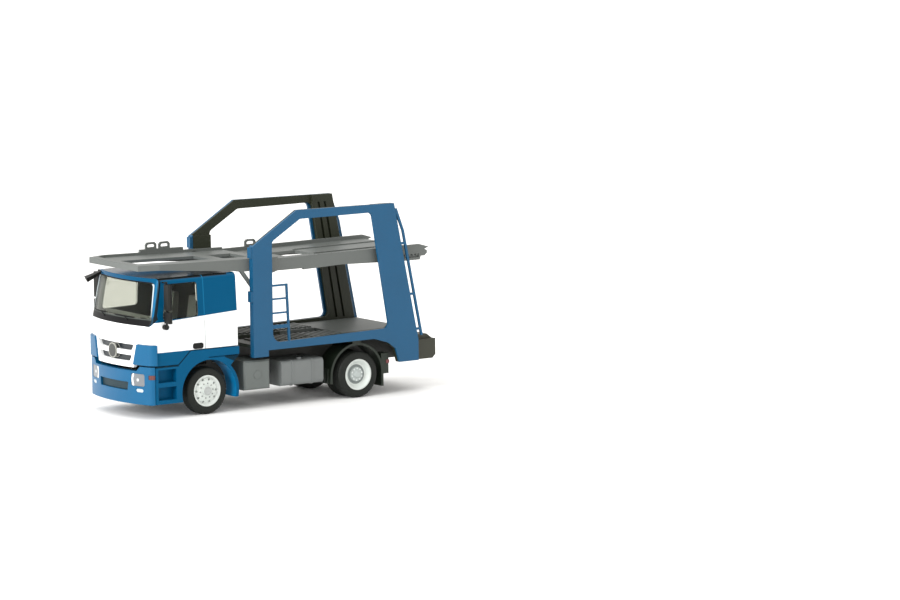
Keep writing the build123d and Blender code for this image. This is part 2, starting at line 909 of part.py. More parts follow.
with BuildPart() as bumper:
    add(bumper_form(0))
    add(bumper_form(bumper_wall), mode=Mode.SUBTRACT)
    with BuildSketch(Plane.XY.offset(bumper_bottom_z)):
        with Locations((station(-bumper_return) - nose_reach / 2, 0)):
            Rectangle(nose_reach, frame_width)
    extrude(amount=bumper_top_z, mode=Mode.SUBTRACT)
    with BuildSketch(front_plane):
        Polygon(
            (-dip_half - dip_slant, bumper_top_z + snug),
            (dip_half + dip_slant, bumper_top_z + snug),
            (dip_half - dip_slant, bumper_dip_z),
            (-dip_half + dip_slant, bumper_dip_z),
            align=None,
        )
        lamp_outlines(snug)
        intake_outline(snug)
    extrude(amount=front_reach, mode=Mode.SUBTRACT)
    for side in (1, -1):
        with BuildSketch(side_plane(side * frame_y)):
            with Locations(marker_place):
                Rectangle(marker_length + 2 * snug, marker_height + 2 * snug)
        extrude(amount=side * marker_depth, mode=Mode.SUBTRACT)
export(bumper, "bumper")

with BuildPart() as headlamps:
    add(bumper_form(lamp_recess))
    add(bumper_form(lamp_recess + lamp_depth), mode=Mode.SUBTRACT)
    with BuildSketch(front_plane):
        lamp_outlines(0)
    extrude(amount=front_reach, mode=Mode.INTERSECT)
export(headlamps, "headlamps")

with BuildPart() as bumper_intake:
    add(bumper_form(intake_recess))
    add(bumper_form(intake_recess + lamp_depth), mode=Mode.SUBTRACT)
    with BuildSketch(front_plane):
        intake_outline(0)
    extrude(amount=front_reach, mode=Mode.INTERSECT)
export(bumper_intake, "bumper_intake")

with BuildPart() as marker_lamps:
    add(bumper_form(0))
    add(bumper_form(lamp_depth), mode=Mode.SUBTRACT)
    with BuildSketch(side_plane(frame_y)):
        with Locations(marker_place):
            Rectangle(marker_length, marker_height)
    extrude(amount=marker_depth - snug, mode=Mode.INTERSECT)
    mirror(about=Plane.XZ)
export(marker_lamps, "marker_lamps")

# Front mudguards: step block with two treads, wheel arch and rear fender in one moulding
lip_z = sill_z - seam - lip_height
with BuildPart() as front_mudguards:
    with BuildSketch(side_plane(cab_half_width)):
        Polygon(
            *stations((
                (-bumper_return + seam, step_foot_z),
                (-bumper_return + seam, cab_foot_z - seam),
                (-seam_front, cab_foot_z - seam),
                (-seam_rear, sill_z - seam),
                (cab_behind_axle + lip_reach, sill_z - seam),
                (cab_behind_axle + lip_reach, lip_z),
                (0, axle_z),
                (-arch_radius, step_foot_z),
            )),
            align=None,
        )
        with Locations((front_axle_x, axle_z)):
            Circle(arch_radius + fender_wall)
            Circle(arch_radius, mode=Mode.SUBTRACT)
        with Locations((front_axle_x, step_foot_z - arch_radius)):
            Rectangle(4 * arch_radius, 2 * arch_radius, mode=Mode.SUBTRACT)
    extrude(amount=fender_width)
    with BuildSketch(side_plane(cab_half_width)):
        for tread_z in step_treads:
            with Locations((station(-step_centre), tread_z)):
                Rectangle(step_length, step_height)
    extrude(amount=step_depth, mode=Mode.SUBTRACT)
    with BuildSketch(side_plane(cab_half_width)):
        with Locations((station(cab_behind_axle + lip_reach), lip_z)):
            Rectangle(2 * (cab_behind_axle + lip_reach), lip_groove)
    extrude(amount=lip_groove, mode=Mode.SUBTRACT)
    mirror(about=Plane.XZ)
export(front_mudguards, "front_mudguards")

# Mirrors: two housings on one arm at each door, and a single one at the right roof corner
# Columns of mirror_glasses: height above the arm's foot, height of the housing
housing_y = cab_half_width + mirror_gap
arm_y = housing_y + 2 * arm_radius
arm_x = station(-mirror_ahead)
with BuildPart() as mirrors:
    with BuildSketch(Plane.XY.offset(mirror_foot_z)):
        with Locations((arm_x, arm_y)):
            Circle(arm_radius)
    extrude(amount=arm_height)
    for rise, height in mirror_glasses:
        with BuildSketch(Plane.XY.offset(mirror_foot_z + rise)) as housing:
            with Locations((arm_x, housing_y + mirror_width / 2)):
                Rectangle(mirror_depth, mirror_width)
            chamfer(housing.vertices(), length=mirror_round)
        extrude(amount=height)
    with BuildSketch(side_plane(arm_y)):
        with Locations((arm_x, mirror_foot_z + arm_radius)):
            Circle(foot_radius)
    extrude(amount=arm_y - cab_half_width - snug)
    with BuildSketch(side_plane(arm_y)):
        with Locations((arm_x, mirror_foot_z + arm_height - arm_radius)):
            Rectangle(arm_radius, arm_radius)
    extrude(amount=arm_y - cab_half_width + cab_tumble - 2 * snug)
    mirror(about=Plane.XZ)
export(mirrors, "mirrors")

# Columns: distance ahead of the axle, inset from the cab's side, depth below the roof, width, height
front_mirror_ends = ((13.5, 2.4, 0.5, 0.9, 0.6), (17.2, 0.9, 2.3, 2.2, 1.0))
mirror_points = [
    Vector(station(-ahead), inset - cab_half_width, cab_roof_z - drop)
    for ahead, inset, drop, width, height in front_mirror_ends
]
with BuildPart() as front_mirror:
    for place, (ahead, inset, drop, width, height) in zip(mirror_points, front_mirror_ends):
        with BuildSketch(Plane(origin=place, x_dir=(0, 1, 0), z_dir=mirror_points[1] - mirror_points[0])):
            Rectangle(width, height)
    loft()
    add(cab_form(-snug), mode=Mode.SUBTRACT)
export(front_mirror, "front_mirror")

with BuildPart() as door_handles:
    with BuildSketch(side_plane(cab_half_width + handle_proud)) as handle:
        with Locations((station(-handle_ahead), sill_z + handle_rise)):
            Rectangle(handle_length, handle_height)
        chamfer(handle.vertices(), length=handle_edge)
    extrude(amount=handle_proud)
    mirror(about=Plane.XZ)
export(door_handles, "door_handles")

# Boxes and tanks between the axles, hung on the chassis rails
with BuildPart() as battery_boxes:
    with BuildSketch(Plane.XY.offset(box_bottom_z)):
        with Locations((station((box_front + box_rear) / 2), (rail_outer_y + tank_face_y) / 2)):
            Rectangle(box_length, tank_face_y - rail_outer_y)
    extrude(amount=box_height)
    chamfer(battery_boxes.edges().group_by(Axis.Y)[-1], length=box_edge)
    with BuildSketch(side_plane(tank_face_y + mark_proud)):
        with Locations((station((box_front + box_rear) / 2), box_bottom_z + box_height / 2)):
            Circle(mark_radius)
    extrude(amount=2 * mark_proud)
    mirror(about=Plane.XZ)
export(battery_boxes, "battery_boxes")

tank_width = tank_face_y - rail_outer_y
tank_y = (rail_outer_y + tank_face_y) / 2
tank_z = tank_bottom_z + tank_height / 2
with BuildPart() as fuel_tanks:
    with BuildSketch(Plane.YZ.offset(station(tank_rear))):
        with Locations((tank_y, tank_z)):
            RectangleRounded(tank_width, tank_height, tank_radius)
    extrude(amount=tank_rear - tank_front)
    for strap in (tank_front + strap_inset, tank_rear - strap_inset):
        with BuildSketch(Plane.YZ.offset(station(strap + strap_width / 2))):
            with Locations((tank_y + strap_proud / 2, tank_z)):
                RectangleRounded(tank_width + strap_proud, tank_height + 2 * strap_proud, tank_radius)
        extrude(amount=strap_width)
    with BuildSketch(Plane.XY.offset(tank_z)):
        with Locations((station((tank_front + tank_rear) / 2), tank_face_y - cap_inset)):
            Circle(cap_radius)
    extrude(amount=tank_height / 2 + cap_height)
    mirror(about=Plane.XZ)
export(fuel_tanks, "fuel_tanks")

# Rear mudguards: a ribbed front leg, an arch over the twin wheels, a long flap and a lamp carrier behind
guard_outer = guard_radius + guard_wall
floor_bottom_z = floor_top_z - floor_plate
carrier_rear_x = rear_axle_x - guard_outer - carrier_length
carrier_depth = carrier_length + guard_wall
with BuildPart() as rear_mudguards:
    with BuildSketch(side_plane(guard_face_y)):
        with Locations((rear_axle_x, axle_z)):
            Circle(guard_outer)
        with Locations((rear_axle_x, axle_z - guard_radius)):
            Rectangle(2 * guard_outer, 2 * guard_radius, mode=Mode.SUBTRACT)
        for end, foot_z in ((1, guard_front_z), (-1, guard_flap_z)):
            leg_x = rear_axle_x + end * (guard_radius + guard_wall / 2)
            with Locations((leg_x, (axle_z + foot_z) / 2)):
                Rectangle(guard_wall, axle_z - foot_z)
        with Locations((rear_axle_x, axle_z)):
            Circle(guard_radius, mode=Mode.SUBTRACT)
        with Locations((rear_axle_x, (axle_z + guard_radius + floor_bottom_z) / 2)):
            Rectangle(guard_strut, floor_bottom_z - axle_z - guard_radius)
    extrude(amount=guard_width)
    with BuildSketch(Plane.YZ.offset(rear_axle_x + guard_outer - guard_rib)):
        with Locations((guard_face_y - guard_width / 2, (guard_front_z + axle_z + guard_rib_rise) / 2)):
            with GridLocations(guard_rib_pitch, 0, guard_ribs, 1):
                Rectangle(guard_rib, axle_z + guard_rib_rise - guard_front_z)
    extrude(amount=2 * guard_rib)
    with BuildSketch(Plane.XY.offset(carrier_bottom_z)):
        with Locations((carrier_rear_x + carrier_depth / 2, guard_face_y - carrier_width / 2)):
            Rectangle(carrier_depth, carrier_width)
    extrude(amount=carrier_top_z - carrier_bottom_z)
    mirror(about=Plane.XZ)
export(rear_mudguards, "rear_mudguards")

# Rear lamps, wrapped round the rear outer corner of their carriers
with BuildPart() as rear_lamps:
    with BuildSketch(Plane.XY.offset(rear_lamp_z)):
        with Locations((
            carrier_rear_x - lamp_proud + lamp_length / 2,
            guard_face_y + lamp_proud - lamp_width / 2,
        )):
            Rectangle(lamp_length, lamp_width)
        with Locations((carrier_rear_x + lamp_length, guard_face_y - lamp_width)):
            Rectangle(2 * lamp_length + 2 * snug, 2 * lamp_width + 2 * snug, mode=Mode.SUBTRACT)
    extrude(amount=lamp_height)
    mirror(about=Plane.XZ)
export(rear_lamps, "rear_lamps")

# Side frames: a thin outer panel with a turned-in front edge, and a dark liner nested behind it
slope_ratio = slope_drop / slope_length
# Columns: distance behind the front axle, height
frame_corners = (
    (frame_front, frame_foot_z),
    (frame_front, frame_front_z),
    (frame_front + slope_length, frame_roof_z),
    (roof_rear, roof_rear_z),
    (frame_rear, post_bend_z),
    (frame_rear, frame_tail_z),
    (wheelbase + tail_foot, frame_tail_z),
    *[(wheelbase + behind, height) for behind, height in arch_notch],
    (frame_front + foot_length, bar_bottom_z),
    (frame_front + foot_length, frame_foot_z),
)
opening_front_z = opening_roof_z - opening_slope_drop


def frame_outline():
    """Outer edge of a side frame seen from the side."""
    Polygon(*stations(frame_corners), align=None)


def cut_opening(setback):
    """Cut a side frame's large opening, its rear edge moved back by the setback."""
    with BuildSketch(mode=Mode.PRIVATE) as opening:
        Polygon(
            *stations((
                (opening_front, opening_floor_z - floor_tilt),
                (opening_front, opening_front_z),
                (opening_front + opening_slope_length, opening_roof_z),
                (opening_rear_head + setback, opening_roof_z),
                (opening_rear_foot + setback, opening_floor_z + floor_tilt),
            )),
            align=None,
        )
        foot = opening.vertices().sort_by_distance((station(opening_front), opening_floor_z))
        fillet(foot[1:], radius=opening_radius)
        foot = opening.vertices().sort_by_distance((station(opening_front), opening_floor_z))
        fillet(foot[:1], radius=opening_foot_radius)
    add(opening.sketch, mode=Mode.SUBTRACT)


for side, name in ((1, "left"), (-1, "right")):
    skin_back_y = side * (frame_y - frame_skin)
    with BuildPart() as side_frame:
        with BuildSketch(side_plane(side * frame_y)):
            frame_outline()
            cut_opening(0)
        extrude(amount=side * frame_skin)
        with BuildSketch(side_plane(skin_back_y)):
            Polygon(
                *stations((
                    (frame_front, frame_foot_z),
                    (frame_front, frame_front_z),
                    (frame_front + flange_width, frame_front_z + flange_width * slope_ratio),
                    (frame_front + flange_width, frame_foot_z),
                )),
                align=None,
            )
        extrude(amount=side * flange_depth)
        for tab_rise in tab_rises:
            with BuildSketch(Plane.XY.offset(frame_foot_z + tab_rise)):
                with Locations((station(frame_front - tab_proud / 2), side * (frame_y - tab_inset))):
                    Rectangle(tab_proud, tab_width)
            extrude(amount=tab_height)
    export(side_frame, f"side_frame_{name}")

    front_strip = flange_width + snug
    with BuildPart() as frame_liner:
        with BuildSketch(side_plane(skin_back_y)):
            frame_outline()
            with Locations((station(frame_front + front_strip / 2), frame_roof_z / 2)):
                Rectangle(front_strip, frame_roof_z, mode=Mode.SUBTRACT)
            cut_opening(liner_setback)
        extrude(amount=side * liner_thin)
        with BuildSketch(side_plane(skin_back_y)):
            frame_outline()
            with Locations((station(frame_front + front_strip / 2), frame_roof_z / 2)):
                Rectangle(front_strip, frame_roof_z, mode=Mode.SUBTRACT)
            cut_opening(liner_setback)
            Polygon(
                *stations((
                    (frame_front, frame_front_z),
                    (frame_front, frame_roof_z + snug),
                    (opening_rear_head + liner_setback, frame_roof_z + snug),
                    (opening_rear_head + liner_setback, frame_front_z),
                )),
                align=None,
                mode=Mode.SUBTRACT,
            )
        extrude(amount=side * liner_thickness)
        with BuildSketch(side_plane(side * liner_face_y)):
            for place_head, place_foot in groove_places:
                Polygon(
                    *stations((
                        (opening_rear_head + place_head, opening_roof_z),
                        (opening_rear_head + place_head + groove_width, opening_roof_z),
                        (opening_rear_foot + place_foot + groove_width, opening_floor_z),
                        (opening_rear_foot + place_foot, opening_floor_z),
                    )),
                    align=None,
                )
        extrude(amount=-side * groove_depth, mode=Mode.SUBTRACT)
    export(frame_liner, f"frame_liner_{name}")


# Ladders beside the front posts
# Columns of ladder_rungs: height above the opening's floor, height of the rung
def opening_sill(behind):
    """Height of the opening's floor at this distance behind the front axle."""
    share = (behind - opening_front) / (opening_rear_foot - opening_front)
    return opening_floor_z - floor_tilt + 2 * floor_tilt * share


rung_front = opening_front + snug
ladder_rear = opening_front + ladder_length
ladder_foot_z = opening_sill(ladder_rear + ladder_lean) + snug
with BuildPart() as ladders:
    with BuildSketch(side_plane(frame_y)):
        Polygon(
            *stations((
                (ladder_rear - ladder_rail, ladder_foot_z + ladder_height),
                (ladder_rear, ladder_foot_z + ladder_height),
                (ladder_rear + ladder_lean, ladder_foot_z),
                (ladder_rear + ladder_lean - ladder_rail, ladder_foot_z),
            )),
            align=None,
        )
        for rung_rise, rung_height in ladder_rungs:
            with Locations((station((rung_front + ladder_rear) / 2), ladder_foot_z + rung_rise)):
                Rectangle(ladder_rear - rung_front, rung_height)
    extrude(amount=ladder_thickness)
    mirror(about=Plane.XZ)
export(ladders, "ladders")


# Grab rails behind the rear posts
def post_rear(height):
    """How far behind the front axle a rear post's back edge lies at this height."""
    share = (roof_rear_z - height) / (roof_rear_z - post_bend_z)
    return roof_rear + (frame_rear - roof_rear) * share


grab_top_z = roof_rear_z - grab_head
grab_root_z = grab_top_z - grab_root
grab_bend_z = roof_rear_z - grab_bend
grab_foot_z = post_bend_z + grab_foot_rise
with BuildPart() as grab_rails:
    with BuildSketch(side_plane(frame_y)):
        Polygon(
            *stations((
                (post_rear(grab_top_z) + snug, grab_top_z),
                (post_rear(grab_top_z) + grab_width, grab_top_z),
                (post_rear(grab_bend_z) + rail_gap + grab_width, grab_bend_z),
                (post_rear(grab_foot_z) + rail_gap + grab_width, grab_foot_z),
                (post_rear(grab_foot_z) + rail_gap, grab_foot_z),
                (post_rear(grab_bend_z) + rail_gap, grab_bend_z),
                (post_rear(grab_root_z) + snug, grab_root_z),
            )),
            align=None,
        )
        for tie_rise in grab_ties:
            tie_z = grab_foot_z + tie_rise
            Polygon(
                *stations((
                    (post_rear(tie_z) + snug, tie_z),
                    (post_rear(tie_z) + rail_gap + snug, tie_z),
                    (post_rear(tie_z - grab_width) + rail_gap + snug, tie_z - grab_width),
                    (post_rear(tie_z - grab_width) + snug, tie_z - grab_width),
                )),
                align=None,
            )
    extrude(amount=grab_width)
    mirror(about=Plane.XZ)
export(grab_rails, "grab_rails")


# Upper deck, front part: sunk plate between two side rails, with a nose bar and two gaps
def front_rail_z(behind):
    """Height of the front deck's rail tops, which fall from the nose corners to the seam."""
    return deck_nose_top_z - deck_fall * (behind + nose_corner) / (deck_seam + nose_corner)


nose_half = deck_edge_y - nose_taper
nose_plan = (
    (station(-deck_nose), nose_half),
    (station(-nose_corner), deck_edge_y),
    (station(deck_seam), deck_edge_y),
    (station(deck_seam), -deck_edge_y),
    (station(-nose_corner), -deck_edge_y),
    (station(-deck_nose), -nose_half),
)
front_gaps = (
    (-deck_nose + nose_bar, cab_behind_axle - gap_clear),
    (cab_behind_axle + runway_bridge, deck_seam - runway_bridge),
)
with BuildPart() as deck_front:
    with BuildSketch(side_plane(deck_edge_y)):
        Polygon(
            *stations((
                (-deck_nose, deck_nose_top_z - deck_recess),
                (-nose_corner, deck_nose_top_z - deck_recess),
                (deck_seam, deck_seam_top_z - deck_recess),
                (deck_seam, deck_seam_top_z - deck_recess - deck_plate),
                (-nose_corner, deck_nose_top_z - deck_recess - deck_plate),
                (-deck_nose, deck_nose_top_z - deck_recess - deck_plate),
            )),
            align=None,
        )
    extrude(amount=2 * deck_edge_y)
    with BuildSketch(Plane.XY):
        Polygon(*nose_plan, align=None)
        for gap_front, gap_rear in front_gaps:
            with Locations((station((gap_front + gap_rear) / 2), 0)):
                Rectangle(gap_rear - gap_front, 2 * deck_gap_half, mode=Mode.SUBTRACT)
    extrude(amount=frame_roof_z, mode=Mode.INTERSECT)
    with BuildSketch(Plane.XY.offset(deck_nose_top_z - nose_depth)):
        Polygon(
            (station(-deck_nose), nose_half),
            (station(-nose_corner), deck_edge_y),
            (station(-nose_corner), deck_edge_y - deck_rail_width),
            (station(-deck_nose + nose_bar), nose_half - deck_rail_width),
            (station(-deck_nose + nose_bar), -nose_half + deck_rail_width),
            (station(-nose_corner), -deck_edge_y + deck_rail_width),
            (station(-nose_corner), -deck_edge_y),
            (station(-deck_nose), -nose_half),
            align=None,
        )
    extrude(amount=nose_depth)
    for side in (1, -1):
        with BuildSketch(side_plane(side * deck_edge_y)):
            Polygon(
                *stations((
                    (-nose_corner, deck_nose_top_z),
                    (deck_seam, deck_seam_top_z),
                    (deck_seam, rail_deep_z - toe_drop / 2),
                    (deck_seam - toe_length / 2, rail_deep_z - toe_drop),
                    (deck_seam - toe_length, rail_deep_z),
                    (cab_behind_axle + strut_top, rail_deep_z),
                    (cab_behind_axle, cab_roof_z + roof_gap),
                    (-nose_corner, deck_nose_top_z - nose_depth),
                )),
                align=None,
            )
            hook = cab_behind_axle + hook_place
            with Locations((station(hook), front_rail_z(hook) - hook_drop - hook_height / 2)):
                Rectangle(hook_length, hook_height, mode=Mode.SUBTRACT)
        extrude(amount=side * deck_rail_width)
export(deck_front, "deck_front")


# Upper deck, rear part: sunk plate between deep side rails that end in a hooked tail
def rear_rail_z(behind):
    """Height of the rear deck's rail tops, which rise a little towards the tail."""
    return deck_rear_top_z + rail_rise * (behind - deck_seam) / (tail_bend - deck_seam)


rear_gap_front = deck_seam + rear_gap_place
rear_gap_rear = rear_gap_front + rear_gap_length
sole_front = deck_seam + sole_place
sole_rear = sole_front + sole_length
slot_front = tail_bend - tail_slot_length - tail_slot_margin
slot_mid_z = deck_rear_top_z - tail_slot_drop
tooth_pitch = tail_slot_length / tail_teeth
with BuildPart() as deck_rear:
    with BuildSketch(side_plane(deck_edge_y)):
        Polygon(
            *stations((
                (deck_seam, deck_rear_top_z - rear_recess),
                (tail_bend, rear_rail_z(tail_bend) - rear_recess),
                (deck_tail - tail_tip, deck_rear_top_z - rear_recess - tail_step),
                (deck_tail - tail_tip, deck_rear_top_z - rear_recess - tail_step - deck_plate),
                (tail_bend, rear_rail_z(tail_bend) - rear_recess - deck_plate),
                (deck_seam, deck_rear_top_z - rear_recess - deck_plate),
            )),
            align=None,
        )
    extrude(amount=2 * deck_edge_y)
    with BuildSketch(Plane.XY):
        with Locations((station((rear_gap_front + rear_gap_rear) / 2), 0)):
            Rectangle(rear_gap_length, 2 * deck_gap_half)
    extrude(amount=frame_roof_z, mode=Mode.SUBTRACT)
    for ridge_y in (fold_y, -fold_y):
        with BuildSketch(side_plane(ridge_y + fold_width / 2)):
            Polygon(
                *stations((
                    (rear_gap_rear, rear_rail_z(rear_gap_rear) - rear_recess - fold_height),
                    (rear_gap_rear, rear_rail_z(rear_gap_rear) - rear_recess + fold_height),
                    (tail_bend, rear_rail_z(tail_bend) - rear_recess + fold_height),
                    (tail_bend, rear_rail_z(tail_bend) - rear_recess - fold_height),
                )),
                align=None,
            )
        extrude(amount=fold_width)
    for side in (1, -1):
        with BuildSketch(side_plane(side * deck_edge_y)):
            Polygon(
                *stations((
                    (deck_seam, deck_rear_top_z),
                    (tail_bend, deck_rear_top_z + rail_rise),
                    *[(deck_tail - ahead, deck_rear_top_z - drop) for ahead, drop in tail_hook],
                    (tail_bend, deck_rear_top_z - tail_depth),
                    (slot_front, deck_rear_top_z - tail_depth),
                    (sole_rear, deck_rear_top_z - rear_rail_depth),
                    (sole_front, deck_rear_top_z - rear_rail_depth - sole_depth),
                    (sole_front, deck_rear_top_z - rear_rail_depth),
                    (deck_seam, deck_rear_top_z - rear_rail_depth),
                )),
                align=None,
            )
        extrude(amount=side * deck_rail_width)
        with BuildSketch(side_plane(side * deck_edge_y)):
            with Locations((station(slot_front + tail_slot_length / 2), slot_mid_z)):
                Rectangle(tail_slot_length, tail_slot_height)
                with GridLocations(tooth_pitch, 0, tail_teeth, 1):
                    Rectangle(
                        tail_tooth,
                        tail_slot_height / 2,
                        align=(Align.CENTER, Align.MIN),
                        mode=Mode.SUBTRACT,
                    )
        extrude(amount=side * tail_slot_depth, mode=Mode.SUBTRACT)
export(deck_rear, "deck_rear")

# Struts from the front deck down to the front posts
strut_head = cab_behind_axle + strut_top
with BuildPart() as deck_struts:
    with BuildSketch(side_plane(deck_edge_y)):
        Polygon(
            *stations((
                (strut_head, rail_deep_z),
                (strut_head + strut_width, rail_deep_z),
                (strut_head + strut_reach + strut_width, rail_deep_z - strut_drop),
                (strut_head + strut_reach, rail_deep_z - strut_drop),
            )),
            align=None,
        )
    extrude(amount=deck_rail_width)
    mirror(about=Plane.XZ)
export(deck_struts, "deck_struts")

# Lashing hoops on the right runway: two on a raised block, one farther back
block_front, block_rear = hoop_block
rear_hoop = deck_seam + rear_hoop_place
# Columns: distance behind the front axle, height of the seat
hoop_seats = (
    *[(place, front_rail_z(place) + hoop_block_height - snug) for place in hoop_places],
    (rear_hoop, rear_rail_z(rear_hoop + hoop_length / 2)),
)
hoop_plane = side_plane(-deck_edge_y + deck_rail_width)
with BuildPart() as lashing_hoops:
    with BuildSketch(hoop_plane):
        Polygon(
            *stations((
                (block_front, front_rail_z(block_front)),
                (block_front, front_rail_z(block_front) + hoop_block_height),
                (block_rear, front_rail_z(block_rear) + hoop_block_height),
                (block_rear, front_rail_z(block_rear)),
            )),
            align=None,
        )
    extrude(amount=deck_rail_width)
    with BuildSketch(hoop_plane):
        for behind, seat_z in hoop_seats:
            with BuildSketch(mode=Mode.PRIVATE) as hoop:
                with Locations((station(behind), seat_z + hoop_height / 2)):
                    Rectangle(hoop_length, hoop_height)
                chamfer(hoop.vertices().group_by(Axis.Y)[-1], length=hoop_round)
            with BuildSketch(mode=Mode.PRIVATE) as gap:
                with Locations((station(behind), seat_z + hoop_height / 2)):
                    Rectangle(hoop_length - 2 * hoop_wire, hoop_height - 2 * hoop_wire)
                chamfer(gap.vertices().group_by(Axis.Y)[-1], length=hoop_round / 2)
            add(hoop.sketch)
            add(gap.sketch, mode=Mode.SUBTRACT)
    extrude(amount=hoop_wire)
export(lashing_hoops, "lashing_hoops")

# Subframe: two beams that lift the lower deck off the chassis rails
with BuildPart() as subframe:
    with BuildSketch(Plane.XY.offset(rail_top_z)):
        with Locations((station((floor_front + beam_front) / 2), 0)):
            Rectangle(beam_front - floor_front, 2 * rail_outer_y)
            Rectangle(beam_front - floor_front, 2 * rail_half_gap, mode=Mode.SUBTRACT)
    extrude(amount=floor_bottom_z - rail_top_z)
export(subframe, "subframe")

# Lower deck: two ribbed runways joined at their ends
rib_count = int((ribs_rear - ribs_front) / rib_pitch)
ribs_x = station((ribs_front + ribs_rear) / 2)
runway_y = (floor_gap_half + liner_face_y) / 2
runway_width = liner_face_y - floor_gap_half
with BuildPart() as lower_deck:
    with BuildSketch(Plane.XY.offset(floor_bottom_z)):
        with Locations((station((floor_front + beam_front) / 2), 0)):
            Rectangle(beam_front - floor_front, 2 * liner_face_y)
        with Locations((ribs_x, 0)):
            Rectangle(ribs_rear - ribs_front, 2 * floor_gap_half, mode=Mode.SUBTRACT)
    extrude(amount=floor_plate)
    with BuildSketch(Plane.XY.offset(floor_top_z)):
        with Locations((ribs_x, runway_y), (ribs_x, -runway_y)):
            with GridLocations(rib_pitch, 0, rib_count, 1):
                Rectangle(rib_pitch / 2, runway_width - 2 * rib_margin)
    extrude(amount=rib_height)
export(lower_deck, "lower_deck")

# Rear beam across the tail with a raised, sloping back, and the coupling pin under the chassis
with BuildPart() as rear_beam:
    with BuildSketch(side_plane(liner_face_y)):
        Polygon(
            *stations((
                (beam_front, beam_bottom_z),
                (beam_front, beam_top_z),
                (tail_reach, beam_top_z),
                (tail_reach, beam_bottom_z + beam_edge),
                (tail_reach - beam_edge, beam_bottom_z),
            )),
            align=None,
        )
    extrude(amount=2 * liner_face_y)
    with BuildSketch(side_plane(liner_face_y - beam_step_inset)):
        Polygon(
            *stations((
                (beam_front, beam_top_z),
                (beam_front, beam_step_z),
                (tail_reach - beam_slope, beam_step_z),
                (tail_reach - beam_ledge, beam_top_z),
            )),
            align=None,
        )
    extrude(amount=2 * (liner_face_y - beam_step_inset))
export(rear_beam, "rear_beam")

pin_x = station(tail_reach - coupling_inset)
with BuildPart() as coupling:
    with BuildSketch(Plane.XY.offset(rail_bottom_z)):
        with Locations((pin_x, 0)):
            Rectangle(coupling_plate_length, 2 * rail_outer_y)
    extrude(amount=-coupling_plate)
    with BuildSketch(Plane.XY.offset(rail_bottom_z - coupling_plate)):
        with Locations((pin_x, 0)):
            Circle(coupling_radius)
    extrude(amount=-coupling_length)
export(coupling, "coupling")
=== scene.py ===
import math

import bmesh
import bpy
import numpy as np
from mathutils import Matrix, Vector


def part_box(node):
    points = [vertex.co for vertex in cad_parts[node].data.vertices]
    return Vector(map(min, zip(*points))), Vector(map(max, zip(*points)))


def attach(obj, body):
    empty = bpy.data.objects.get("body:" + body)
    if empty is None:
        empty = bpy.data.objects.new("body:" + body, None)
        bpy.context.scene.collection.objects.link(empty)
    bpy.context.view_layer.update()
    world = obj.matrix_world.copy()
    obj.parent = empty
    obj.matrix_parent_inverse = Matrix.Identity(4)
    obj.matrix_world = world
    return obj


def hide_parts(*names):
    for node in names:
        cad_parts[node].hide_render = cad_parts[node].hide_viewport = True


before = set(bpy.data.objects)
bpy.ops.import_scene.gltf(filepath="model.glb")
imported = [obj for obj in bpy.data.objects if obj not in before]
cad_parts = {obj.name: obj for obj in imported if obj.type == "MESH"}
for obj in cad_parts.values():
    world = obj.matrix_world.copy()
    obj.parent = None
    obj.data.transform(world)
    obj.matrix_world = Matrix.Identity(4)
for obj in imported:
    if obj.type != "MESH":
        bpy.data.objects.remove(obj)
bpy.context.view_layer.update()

# Chassis: the ladder frame, the subframe on it and the coupling under the tail.
# Injection-moulded in dark grey polystyrene; the tool's spark-eroded faces leave a
# fine matt grain, and the pieces are pressed together on hidden pegs.
chassis_colour = (0.032, 0.034, 0.03)
melt_mottle_scale = 160.0
mottle_depth = 0.08
mould_grain_scale = 9000.0
mould_relief = 0.000012
relief_strength = 0.5
gloss_drift = 0.07
mould_edge_radius = 0.00012
mould_edge_samples = 4


def moulding_grain():
    """Group of two noises in object space: slow mottling of the melt, the mould's fine grain."""
    group = bpy.data.node_groups.new("moulding_grain", "ShaderNodeTree")
    group.interface.new_socket("Grain Scale", in_out="INPUT", socket_type="NodeSocketFloat")
    group.interface.new_socket("Mottle", in_out="OUTPUT", socket_type="NodeSocketFloat")
    group.interface.new_socket("Grain", in_out="OUTPUT", socket_type="NodeSocketFloat")
    nodes, links = group.nodes, group.links
    inlet, outlet = nodes.new("NodeGroupInput"), nodes.new("NodeGroupOutput")
    coords = nodes.new("ShaderNodeTexCoord")
    slow, fine = nodes.new("ShaderNodeTexNoise"), nodes.new("ShaderNodeTexNoise")
    slow.inputs["Scale"].default_value = melt_mottle_scale
    slow.inputs["Detail"].default_value = 3.0
    fine.inputs["Detail"].default_value = 2.0
    for noise in (slow, fine):
        links.new(coords.outputs["Object"], noise.inputs["Vector"])
    links.new(inlet.outputs["Grain Scale"], fine.inputs["Scale"])
    links.new(slow.outputs["Fac"], outlet.inputs["Mottle"])
    links.new(fine.outputs["Fac"], outlet.inputs["Grain"])
    return group


grain_group = moulding_grain()


def blend(tree, factor, first, second):
    """Mix two colours, each a socket or a plain (r, g, b), by a factor socket."""
    mix = tree.nodes.new("ShaderNodeMix")
    mix.data_type = "RGBA"
    tree.links.new(factor, mix.inputs["Factor"])
    colour_sockets = [socket for socket in mix.inputs if socket.type == "RGBA"]
    for socket, value in zip(colour_sockets, (first, second)):
        if isinstance(value, bpy.types.NodeSocket):
            tree.links.new(value, socket)
        else:
            socket.default_value = (*value, 1.0)
    return [socket for socket in mix.outputs if socket.type == "RGBA"][0]


